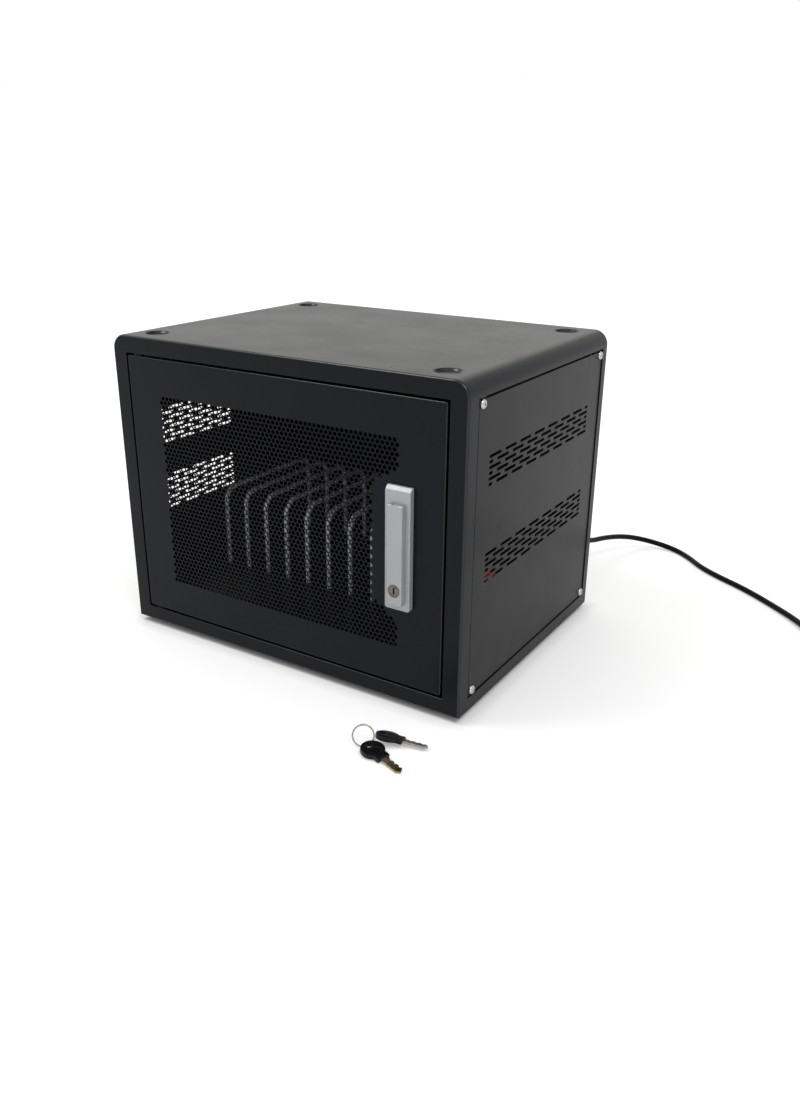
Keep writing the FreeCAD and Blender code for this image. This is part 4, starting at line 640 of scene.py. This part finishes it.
def make_top_cover():
    """The top: rolled over at both sides, with four dishes pressed for another cabinet's feet."""
    surround, rim, floor, floor_share, depth = 0.0155, 0.013, 0.011, 0.6, 0.0025
    reach, press, pressed_angle = 0.017, 0.0009, 0.4
    outline = rectangle(LEFT + ROLL, RIGHT - ROLL, TOP_START, BACK_BAND_START)
    dishes = [ring_of(40, surround, place) for place in FOOT_PLACES]
    cover = stand(flat_sheet("top_cover_skin", [outline, *dishes]), UNTURNED, (0, 0, TOP))
    edit(cover)
    weld(NEAR)
    for dish in FOOT_PLACES:
        centre = (*dish, TOP)
        pick(cover, "EDGE", lambda edge: edge.is_boundary
             and (middle(edge) - Vector(centre)).length < reach)
        for share, down in ((rim / surround, 0), (floor / rim, depth), (floor_share, 0)):
            draw_out(z=-down)
            resize((share, share, 1), centre)
        bpy.ops.mesh.edge_face_add()
    pick(cover, "EDGE", lambda edge: sharp(edge, pressed_angle))
    round_off(press, segments=3)
    for side, x in ((1, RIGHT - ROLL), (-1, LEFT + ROLL)):
        pick(cover, "EDGE", lambda edge: edge.is_boundary and lies(edge, x=x))
        bpy.ops.mesh.spin(steps=10, angle=-side * QUARTER, center=(x, 0, TOP - ROLL), axis=(0, 1, 0))
        draw_out(z=SKIRT - TOP + ROLL)
    weld(NEAR)
    face_outwards(cover, (0, 0, TOP), (0, 0, 1))
    done()
    thicken(cover)
    return dress(cover, "black_powder_coat", "cabinet", ["top_cover"])


def slot_outline(begin_at, length, height):
    """A vent slot with round ends."""
    radius, steps = 0.0014, 6
    ends = []
    for centre, start in ((begin_at + length - radius, -90), (begin_at + radius, 90)):
        for step in range(steps + 1):
            turn = math.radians(start + 180 / steps * step)
            ends.append((centre + radius * math.cos(turn), height + radius * math.sin(turn)))
    return ends


def make_side_panel(name, side, start, slot_count, row_count, fields):
    """A flat side with two fields of vent slots in a brick pattern, and its screw holes."""
    seam, open_seam, screw_hole, edge, middle_x = 0.0009, 0.0026, 0.0027, 0.0002, 0.2004
    length, half_slot, land, row_pitch = 0.0225, 0.00725, 0.008, 0.0051
    pitch = length + land
    outlines = [rectangle(FRONT_BAND_END + open_seam, BACK_BAND_START - seam,
                          BASE_FLANGE + seam, SKIRT - open_seam)]
    for field in fields:
        for row in range(row_count):
            height = field + row_pitch * (row - (row_count - 1) / 2)
            shift, short = (0, pitch * slot_count) if row % 2 else (half_slot + land, 0)
            for slot in range(slot_count):
                outlines.append(slot_outline(start + shift + pitch * slot, length, height))
            outlines.append(slot_outline(start + short, half_slot, height))
    outlines += [ring_of(20, screw_hole, place) for place in SCREW_PLACES]
    panel = flat_sheet(name + "_skin", outlines, SHEET / 2, edge)
    stand(panel, (90, 0, 90), (side * middle_x, 0, 0))
    edit(panel)
    weld()
    turn_outwards()
    done()
    return dress(panel, "black_powder_coat", "cabinet", [name])


def make_panel_screws():
    """Domed cross-head screws that hold the side panels."""
    radius, height, dome, shoulder, shank, panel_face = 0.0044, 0.0028, 0.0024, 0.0019, 0.008, 0.201
    slot_half, slot_side, slot_floor, slot_top = 0.0022, 0.00055, 0.0014, 0.004
    slot_taper, slot_turn = (0.45, 0.7, 1), 25
    screw = drum("panel_screws", radius, height, (0, 0, height / 2), sides=32)
    edit(screw)
    pick(screw, "EDGE", lambda edge: lies(edge, z=height))
    round_off(dome, segments=8)
    pick(screw, "FACE", lambda face: lies(face, z=0))
    set_in(shoulder)
    draw_out(z=-shank)
    done()
    for name, turn in (("cross_slot", slot_turn), ("cross_slot_2", slot_turn + 90)):
        slot = block(name, (-slot_half, -slot_side, slot_floor), (slot_half, slot_side, slot_top))
        edit(slot)
        pick(slot, "FACE", lambda face: looks(face, (0, 0, -1)))
        resize(slot_taper, (0, 0, slot_floor))
        done()
        cut_with(screw, stand(slot, (0, 0, turn), (0, 0, 0)))
    places = [((0, side * 90, 0), (side * panel_face, *place)) for side in (-1, 1) for place in SCREW_PLACES]
    return dress(copies(screw, places), "nickel_screws", "cabinet", ["side_panel_screws"])


def make_feet():
    """Rubber feet: tapered pads with a hollow and a washer inside."""
    radius, height, sole_share, edge = 0.012, 0.006, 0.9, 0.0005
    wall, hollow, washer_gap, washer = 0.0045, 0.003, 0.0022, 0.0012
    foot = drum("cabinet_feet", radius, height, (0, 0, height / 2))
    edit(foot)
    pick(foot, "FACE", lambda face: lies(face, z=0))
    resize((sole_share, sole_share, 1), (0, 0, 0))
    set_in(wall)
    draw_out(z=hollow)
    set_in(washer_gap)
    draw_out(z=-washer)
    pick(foot, "EDGE", sharp)
    round_off(edge, segments=2)
    done()
    feet = copies(foot, [(UNTURNED, (x, y, 0)) for x, y in FOOT_PLACES])
    return dress(feet, "foot_rubber", "cabinet", ["rubber_feet"])


# Door

def field_limit(height):
    """Right-hand limit of the punched field, which steps back beside the handle."""
    right, notch, notch_half, slant = 0.1386, 0.0275, 0.056, 0.017
    step = min(max((abs(height - HANDLE_MIDDLE) - notch_half) / slant, 0), 1)
    return right - notch * (1 - step)


def punched_field():
    """Round holes in staggered rows."""
    pitch, radius = 0.005, 0.0021
    left, low, high = -0.1426, 0.0612, 0.2608
    rise = pitch * math.sqrt(3) / 2
    rows = int((high - low - 2 * radius) / rise) + 1
    holes = []
    for row in range(rows):
        z = low + radius + rise * row
        x = left + radius + (pitch / 2 if row % 2 else 0)
        while x + radius <= field_limit(z):
            holes.append(ring_of(12, radius, (x, z)))
            x += pitch
    return holes


def make_door_skin():
    """The door: a punched sheet with its four edges folded back and in."""
    strip, lip, half_field, rear = 0.004, 0.008, 0.00035, -0.1398
    corner, fold, screw_hole, screw_rows = 0.0022, 0.0014, 0.0022, (0.1115, 0.186)
    window, opening = [{"x": (border - DOOR_X, DOOR_X - border),
                        "z": (DOOR_LOW + border, DOOR_HIGH - border)} for border in (strip, lip)]
    fixings = [ring_of(24, HUB_BORE, (HANDLE_X, SPINDLE_Z))]
    fixings += [ring_of(12, screw_hole, (HANDLE_X, z)) for z in screw_rows]
    outline = rectangle(*window["x"], *window["z"])
    field = flat_sheet("punched_field", [outline, *punched_field(), *fixings], half_field)
    stand(field, (90, 0, 0), (0, FRONT + half_field, 0))
    edit(field)
    weld()
    turn_outwards()
    done()
    door = block("door_skin", (-DOOR_X, FRONT, DOOR_LOW), (DOOR_X, rear, DOOR_HIGH))
    edit(door)
    pick(door, "EDGE", lambda edge: along(edge, "y"))
    round_off(corner, segments=4)
    pick(door, "EDGE", lambda edge: lies(edge, y=FRONT))
    round_off(fold, segments=4)
    cut_along(x=window["x"] + opening["x"], z=window["z"] + opening["z"])
    for plane, gap in ((FRONT, window), (rear, opening)):
        pick(door, "FACE", lambda face: lies(face, y=plane) and within(middle(face), **gap))
        bpy.ops.mesh.delete(type="FACE")
    face_outwards(door, (0, FRONT, DOOR_HIGH - strip / 2), (0, -1, 0))
    done()
    thicken(door)
    join(door, field)
    return dress(door, "black_powder_coat", "door", ["door_panel", "door_frame"])


def make_handle_base():
    """The swing handle's base: a plate with a sloped top end and softened edges."""
    half_width, face_y, slope, corner, soft, bore_depth = 0.013, -0.1588, 0.0036, 0.0025, 0.0007, 0.03
    base = block("handle_plate", (HANDLE_X - half_width, face_y, HANDLE_LOW),
                 (HANDLE_X + half_width, FRONT, HANDLE_HIGH))

    def at_foot(edge):
        return along(edge, "y") and lies(edge, z=HANDLE_LOW)

    edit(base)
    pick(base, "EDGE", lambda edge: lies(edge, y=face_y, z=HANDLE_HIGH))
    round_off(slope, segments=1)
    pick(base, "EDGE", at_foot)
    round_off(corner, segments=5)
    pick(base, "EDGE", lambda edge: sharp(edge) and not lies(edge, y=FRONT) and not at_foot(edge))
    round_off(soft, segments=3)
    done()
    cut_with(base, drum("hub_bore", HUB_BORE, bore_depth, (HANDLE_X, FRONT, SPINDLE_Z), turn=AHEAD))
    return dress(base, "grey_lacquer", "door", ["handle_base"])


def make_lever():
    """The lever: a flat bar, round at its hinge, with soft edges, its lock bore and its hidden fork."""
    half_width, hinge_round, corner, soft, overrun = 0.008, 0.00245, 0.002, 0.0008, 0.005
    bore, seat, seat_depth = 0.00635, 0.00705, 0.0011
    fork_half, fork_skin, fork_low = 0.0034, 0.0006, 0.1981
    lever = block("lever_bar", (HANDLE_X - half_width, LEVER_FACE, LEVER_LOW),
                  (HANDLE_X + half_width, LEVER_REAR, LEVER_HIGH))
    edit(lever)
    pick(lever, "EDGE", lambda edge: along(edge, "x") and lies(edge, z=LEVER_HIGH))
    round_off(hinge_round, segments=8)
    pick(lever, "EDGE", lambda edge: along(edge, "y") and lies(edge, z=LEVER_LOW))
    round_off(corner, segments=5)
    pick(lever, "EDGE", lambda edge: sharp(edge) and not lies(edge, y=LEVER_REAR))
    round_off(soft, segments=3)
    done()
    for name, radius, front in (("lock_bore", bore, LEVER_FACE - overrun),
                                ("lock_seat", seat, LEVER_REAR - seat_depth)):
        depth = LEVER_REAR + overrun - front
        cut_with(lever, drum(name, radius, depth, (HANDLE_X, front + depth / 2, LOCK_Z), 48, AHEAD))
    cut_with(lever, block("fork_pocket", (HANDLE_X - fork_half, LEVER_FACE + fork_skin, fork_low),
                          (HANDLE_X + fork_half, LEVER_REAR + overrun, LEVER_HIGH + overrun)))
    return dress(lever, "grey_lacquer", "lever", ["handle_lever"])


def make_lock_plug():
    """The lock's core: a flanged barrel with a turned groove and the keyhole."""
    radius, flange, flange_front, soft = 0.007, 0.001, LEVER_REAR - 0.00105, 0.00015
    shoulder, rim, groove_wall, groove, boss_wall, boss = 0.0007, 0.0009, 0.0002, 0.0005, 0.0004, 0.0004
    key_half, key_side, key_start, key_depth, key_round = 0.00325, 0.0008, 0.002, 0.003, 0.0006
    plug = drum("lock_plug", radius, flange, (HANDLE_X, flange_front + flange / 2, LOCK_Z), 48, AHEAD)
    edit(plug)
    pick(plug, "FACE", lambda face: lies(face, y=flange_front))
    set_in(shoulder)
    draw_out(y=LEVER_FACE - flange_front)
    set_in(rim)
    set_in(groove_wall)
    draw_out(y=groove)
    set_in(boss_wall)
    draw_out(y=-boss)
    pick(plug, "EDGE", sharp)
    round_off(soft, segments=2)
    done()
    keyhole = block("keyhole", (HANDLE_X - key_side, LEVER_FACE - key_start, LOCK_Z - key_half),
                    (HANDLE_X + key_side, LEVER_FACE + key_depth, LOCK_Z + key_half))
    edit(keyhole)
    pick(keyhole, "EDGE", lambda edge: along(edge, "y"))
    round_off(key_round, segments=3)
    done()
    cut_with(plug, keyhole)
    return dress(plug, "lock_brass_dark", "lock", ["lock_core"])


# Inside

def make_device_tray():
    """The tray: a sheet with a folded nose along its front, on two upright walls."""
    top, hem, gauge, wall_inset, wall_foot = 0.052, 0.009, 0.0015, 0.008, 0.0072
    left, right, front, back = -0.197, 0.197, -0.132, 0.135
    nose_left, nose_right, nose, nose_fold, wall_edge = -0.155, 0.180, -0.137, 0.0018, 0.0004
    outline = [(left, front), (nose_left, front), (nose_left, nose), (nose_right, nose),
               (nose_right, front), (right, front), (right, back), (left, back)]
    tray = stand(flat_sheet("tray_sheet", [outline]), UNTURNED, (0, 0, top))
    edit(tray)
    weld(NEAR)
    pick(tray, "EDGE", lambda edge: edge.is_boundary and lies(edge, y=nose))
    draw_out(z=-hem)
    pick(tray, "EDGE", lambda edge: len(edge.link_faces) == 2 and lies(edge, y=nose, z=top))
    round_off(nose_fold, segments=4)
    face_outwards(tray, (0, 0, top), (0, 0, 1))
    done()
    thicken(tray, gauge)
    for y in (front + wall_inset, back - wall_inset):
        wall = block("tray_wall", (left + wall_inset, y, wall_foot),
                     (right - wall_inset, y + gauge, top - gauge))
        edit(wall)
        pick(wall, "EDGE", lambda edge: along(edge, "x"))
        round_off(wall_edge, segments=2)
        done()
        join(tray, wall)
    return dress(tray, "black_powder_coat", "cabinet", ["device_tray"])


def make_divider_rack():
    """The wire dividers: rods bent twice that stand on the tray in a row."""
    radius, drawn_radius, bend = 0.0025, 0.002, 0.016
    low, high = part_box("divider_1")
    foot, top = low[2], high[2] - drawn_radius
    front, rear = low[1] + drawn_radius, high[1] - drawn_radius
    rod = begin("divider_rack", bpy.ops.mesh.primitive_circle_add, vertices=16, radius=radius,
                fill_type="NGON", location=(0, front, foot))
    edit(rod)
    bpy.ops.mesh.select_all(action="SELECT")
    draw_out(z=top - bend - foot)
    for y, run in ((front + bend, {"y": rear - front - 2 * bend}), (rear - bend, {"z": foot - top + bend})):
        bpy.ops.mesh.spin(steps=8, angle=QUARTER, center=(0, y, top - bend), axis=(1, 0, 0))
        draw_out(**run)
    weld()
    turn_outwards()
    done()
    nodes = [f"divider_{number}" for number in range(1, 10)]
    places = [(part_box(node)[0][0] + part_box(node)[1][0]) / 2 for node in nodes]
    rack = copies(rod, [(UNTURNED, (x, 0, 0)) for x in places])
    return dress(rack, "divider_wire", "cabinet", nodes)


# Keys

def make_key_bow(name, node, turn, place):
    """A moulded key bow: a thick disc and neck, with sunk faces, a hole and the blade's slot."""
    radius, half, neck_end, neck, edge, steps = 0.011, 0.0023, 0.015, 0.0065, 0.0008, 36
    hole, hole_x = 0.003, -0.005
    sunk_radius, sunk_depth, sunk_x, sunk_lift, flare = 0.0052, 0.001, 0.0045, 0.0001, 1.12
    slot_start, slot_end, slot_side, slot_half = 0.0054, 0.020, 0.00385, 0.0011
    start = math.asin(neck / radius)
    arc = [start + (2 * math.pi - 2 * start) * step / steps for step in range(steps + 1)]
    outline = [(neck_end, -neck), (neck_end, neck)]
    outline += [(radius * math.cos(angle), radius * math.sin(angle)) for angle in arc]
    bow = flat_sheet(name, [outline, ring_of(20, hole, (hole_x, 0))], half, edge)
    edit(bow)
    weld()
    turn_outwards()
    done()
    for side in (-1, 1):
        sunk = drum("sunk_face", sunk_radius, sunk_depth, (sunk_x, 0, side * (half + sunk_lift)))
        edit(sunk)
        pick(sunk, "FACE", lambda face: looks(face, (0, 0, side)))
        resize((flare, flare, 1), (sunk_x, 0, 0))
        done()
        cut_with(bow, sunk)
    cut_with(bow, block("blade_slot", (slot_start, -slot_side, -slot_half),
                        (slot_end, slot_side, slot_half)))
    stand(bow, UNTURNED, (0, 0, half))
    stand(bow, turn, place)
    return dress(bow, "key_plastic", "cabinet", [node])


# Mains lead

def ringed(centre, rings):
    """Draws the picked end face out along +Y: each ring is (distance on, radius from, radius to)."""
    x, reached, z = centre
    for onward, before, after in rings:
        draw_out(y=onward)
        reached += onward
        share = after / before
        resize((share, 1, share), (x, reached, z))


def ribbed(count, radius, change, rib, groove, depth, end_depth):
    """Rings for ribs with a groove behind each, and the radius that the last rib ends at."""
    wall = 0.0002
    rings = []
    for _ in range(count):
        after = radius + change
        floor, floor_end = after - depth, after - end_depth
        rings += [(rib, radius, after), (wall, after, floor), (groove, floor, floor_end),
                  (wall, floor_end, after)]
        radius = after
    return rings, radius


def make_lead_boot():
    """The strain relief: a flange on the rear wall and a tapering boot with ribs."""
    flange_radius, flange, spigot_inset, spigot = 0.011, 0.003, 0.0035, 0.0062
    boot_inset, boot_radius, tip, tip_taper, soft = 0.0037, 0.0073, 0.0018, 0.0002, 0.0002
    rear = BACK + flange
    boot = drum("lead_boot", flange_radius, flange, (GLAND_X, BACK + flange / 2, GLAND_Z), turn=AHEAD)
    edit(boot)
    pick(boot, "FACE", lambda face: lies(face, y=BACK))
    set_in(spigot_inset)
    draw_out(y=-spigot)
    pick(boot, "FACE", lambda face: lies(face, y=rear))
    set_in(boot_inset)
    rings, radius = ribbed(7, boot_radius, change=-0.00033, rib=0.0030, groove=0.0012,
                           depth=0.0012, end_depth=0.0013)
    rings.append((tip, radius, radius - tip_taper))
    ringed((GLAND_X, rear, GLAND_Z), rings)
    pick(boot, "EDGE", sharp)
    round_off(soft, segments=2)
    done()
    return dress(boot, "cord_jacket", "cabinet", ["strain_relief"])


def make_plug_shell():
    """The plug's moulded body: a ribbed neck that swells to a round face with a soft rim."""
    neck, start, length, rim, face_border, face_sink = 0.0055, 0.001, 0.046, 0.0012, 0.0016, 0.0006
    shoulders = ((0.003, 0.0120), (0.009, 0.0166), (0.006, 0.0187), (0.003, 0.0190), (0.006, 0.0190))
    shell = drum("plug_shell", neck, start, (PLUG_X, PLUG_START + start / 2, PLUG_Z), 48, AHEAD)
    edit(shell)
    pick(shell, "FACE", lambda face: lies(face, y=PLUG_START + start))
    rings, radius = ribbed(5, neck, change=0.0011, rib=0.0024, groove=0.0008,
                           depth=0.0009, end_depth=0.0008)
    for onward, after in shoulders:
        rings.append((onward, radius, after))
        radius = after
    ringed((PLUG_X, PLUG_START + start, PLUG_Z), rings)
    end = PLUG_START + length
    pick(shell, "EDGE", lambda edge: lies(edge, y=end))
    round_off(rim, segments=4)
    pick(shell, "FACE", lambda face: lies(face, y=end))
    set_in(face_border)
    draw_out(y=-face_sink)
    done()
    return dress(shell, "plug_plastic", "cabinet", ["plug_body"])


def make_power_lead():
    """The mains lead: out of its relief, down to the floor, along it and into a tied coil."""
    laid, coil_laid, half_turns, steps_per_turn, run_in = 0.0033, 0.0048, 12, 24, 0.0066
    outer, pitch, cord_radius = 0.0463, 0.0072, 0.0033
    route = [
        (0.150, 0.190, 0.068), (0.150, 0.200, 0.068), (0.1505, 0.225, 0.0575),
        (0.158, 0.262, 0.0345), (0.168, 0.304, 0.0295), (0.183, 0.344, 0.021),
        (0.206, 0.373, 0.0095), (0.236, 0.378, laid), (0.262, 0.359, laid),
        (0.283, 0.336, laid), (0.310, 0.317, laid), (0.348, 0.296, laid), (0.389, 0.265, laid),
        (0.425, 0.2315, coil_laid), (0.4445, 0.202, coil_laid)]
    heading = Vector((0.0195, -0.0295)).normalized()
    entry = Vector(route[-1][:2]) + heading * run_in
    centre = entry + Vector((-heading.y, heading.x)) * outer
    first = math.atan2(entry.y - centre.y, entry.x - centre.x) % (2 * math.pi)
    sweep = half_turns * math.pi - first
    steps = round(sweep / (2 * math.pi) * steps_per_turn)
    for step in range(steps + 1):
        turn = sweep * step / steps
        radius = outer - pitch * (sweep / 2 - abs(turn - sweep / 2)) / (2 * math.pi)
        climb = min(max((turn - sweep / 2) / math.pi + 0.5, 0), 1)
        height = coil_laid + pitch * (1 - math.cos(math.pi * climb)) / 2
        route.append((centre.x + radius * math.cos(first + turn),
                      centre.y + radius * math.sin(first + turn), height))
    end = Vector(route[-1])
    to_plug = ((0.010, end.z), (0.026, 0.0142), (0.042, 0.0181), (0.0554, PLUG_Z), (0.062, PLUG_Z))
    route += [(end.x, end.y + onward, height) for onward, height in to_plug]
    drawing = bpy.data.curves.new("power_lead", "CURVE")
    drawing.dimensions = "3D"
    drawing.resolution_u = 6
    drawing.bevel_depth = cord_radius
    drawing.bevel_resolution = 4
    drawing.use_fill_caps = True
    line = drawing.splines.new("NURBS")
    line.points.add(len(route) - 1)
    for point, place in zip(line.points, route):
        point.co = (*place, 1)
    line.order_u = 3
    line.use_endpoint_u = True
    lead = bpy.data.objects.new("power_lead", drawing)
    bpy.context.scene.collection.objects.link(lead)
    drawing.materials.append(FINISHES["cord_jacket"])
    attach(lead, "cabinet")
    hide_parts("power_cord", "cord_coil")
    return lead


def make_coil_tie():
    """A woven strap round the coil's turns."""
    corner, edge_width = 0.004, 0.0003
    low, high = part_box("cord_tie")
    tie = block("coil_tie", low, high)
    edit(tie)
    pick(tie, "FACE", lambda face: looks(face, (1, 0, 0)) or looks(face, (-1, 0, 0)))
    bpy.ops.mesh.delete(type="ONLY_FACE")
    pick(tie, "EDGE", lambda edge: along(edge, "x"))
    round_off(corner, segments=5)
    turn_outwards()
    done()
    thicken(tie)
    modify(tie, "BEVEL", width=edge_width, segments=2, limit_method="ANGLE")
    return dress(tie, "tie_fabric", "cabinet", ["cord_tie"])


make_front_frame()
make_top_cover()
make_side_panel("side_panel_left", side=-1, start=-0.117, slot_count=4, row_count=8, fields=(0.1355, 0.210))
make_side_panel("side_panel_right", side=1, start=-0.110, slot_count=7, row_count=6, fields=(0.140, 0.231))
make_panel_screws()
make_feet()
make_door_skin()
make_handle_base()
make_lever()
make_lock_plug()
make_device_tray()
make_divider_rack()
make_key_bow("near_bow", "near_key_bow", turn=(0, 5, -17), place=(0.162, -0.233, 0.002017))
make_key_bow("far_bow", "far_key_bow", turn=(-18, 4, 12), place=(0.163, -0.211, 0.003477))
make_lead_boot()
plug_shell = make_plug_shell()
lead = make_power_lead()
tie = make_coil_tie()


# Stage: floor, soft studio light and the camera of the photograph

def seen_directly(tree):
    """1 for rays that look at the stage straight, in a mirror or through glass, else 0."""
    path = put(tree, "LightPath").outputs
    either = reckon(tree, "MAXIMUM", path["Is Camera Ray"], path["Is Glossy Ray"])
    return reckon(tree, "MAXIMUM", either, path["Is Transmission Ray"])


def painted_casing_shadow(tree):
    """Painted contact shadow in the floor's glow: 0 under the casing, more right beside it, 1 a long way
    off.
    """
    beside, painted_shadow_share, under = 0.025, 0.65, -0.01
    place = put(tree, "SeparateXYZ", Vector=object_place(tree)).outputs
    away = [reckon(tree, "ADD", reckon(tree, "ABSOLUTE", place[axis]), -reach)
            for axis, reach in (("X", RIGHT), ("Y", BACK))]
    distance = spread(tree, reckon(tree, "MAXIMUM", *away), 0.0, 1.0, start=under)
    return tones(tree, distance, (0.0, (0, 0, 0)), (beside, (painted_shadow_share,) * 3), (1.0, (1, 1, 1)))


def make_floor():
    """A white floor that keeps the shadow, with a painted shadow in its glow under and beside the casing."""
    grey, glow_strength = 0.8, 0.46
    floor = begin("studio_floor", bpy.ops.mesh.primitive_plane_add, size=60, location=(0, 0, 0))
    finish = bpy.data.materials.new("studio_floor_white_painted_shadow")
    finish.use_nodes = True
    tree = finish.node_tree
    tree.nodes.clear()
    matt = put(tree, "BsdfDiffuse", Color=(grey, grey, grey, 1))
    # The glow carries a painted shadow: none under the casing, and less right beside it.
    share = times(tree, seen_directly(tree), painted_casing_shadow(tree))
    glow = put(tree, "Emission", Color=(1, 1, 1, 1), Strength=times(tree, share, glow_strength))
    both = put(tree, "AddShader")
    tree.links.new(matt.outputs["BSDF"], both.inputs[0])
    tree.links.new(glow.outputs["Emission"], both.inputs[1])
    put(tree, "OutputMaterial", Surface=both.outputs["Shader"])
    floor.data.materials.append(finish)


def make_world():
    """White all round, a little weaker as a light than as a background."""
    light, background = 0.74, 1.0
    world = bpy.data.worlds.new("studio_white")
    world.use_nodes = True
    tree = world.node_tree
    tree.nodes.clear()
    strength = spread(tree, seen_directly(tree), light, background)
    sky = put(tree, "Background", Color=(1, 1, 1, 1), Strength=strength)
    put(tree, "OutputWorld", Surface=sky.outputs["Background"])
    bpy.context.scene.world = world


def make_lamp(name, place, size, power, colour=(1, 1, 1)):
    """A softbox aimed at the cabinet's middle."""
    aim = Vector((0, 0, 0.2))
    bpy.ops.object.select_all(action="DESELECT")
    bpy.ops.object.light_add(type="AREA", location=place)
    lamp = bpy.context.object
    lamp.name = lamp.data.name = name
    lamp.rotation_euler = (aim - Vector(place)).to_track_quat("-Z", "Y").to_euler()
    lamp.data.shape = "RECTANGLE"
    lamp.data.size, lamp.data.size_y = size
    lamp.data.energy = power
    lamp.data.color = colour


def make_camera():
    """The photograph's camera, solved from the casing's edges."""
    right = Vector((0.84741, 0.53095, 0.00872))
    up = Vector((-0.20547, 0.31272, 0.92741))
    ahead = Vector((-0.48963, 0.78762, -0.37406))
    bpy.ops.object.select_all(action="DESELECT")
    bpy.ops.object.camera_add(location=(0.5554, -0.8237, 0.4762))
    camera = bpy.context.object
    camera.name = camera.data.name = "photo_camera"
    camera.rotation_euler = Matrix((right, up, -ahead)).transposed().to_euler()
    camera.data.lens = 31.48
    camera.data.sensor_width = 36
    camera.data.clip_start, camera.data.clip_end = 0.01, 200
    bpy.context.scene.camera = camera


make_floor()
make_world()
make_lamp("rear_softbox", place=(-1.3, 2.1, 1.6), size=(2.6, 1.2), power=5.5, colour=(1, 0.96, 0.70))
make_lamp("overhead_softbox", place=(-1.0, -0.75, 2.1), size=(0.8, 0.8), power=14)
make_lamp("right_softbox", place=(1.2, -0.8, 1.9), size=(0.7, 0.7), power=12)
make_camera()
bpy.context.scene.view_settings.view_transform = "Standard"

bpy.context.view_layer.update()
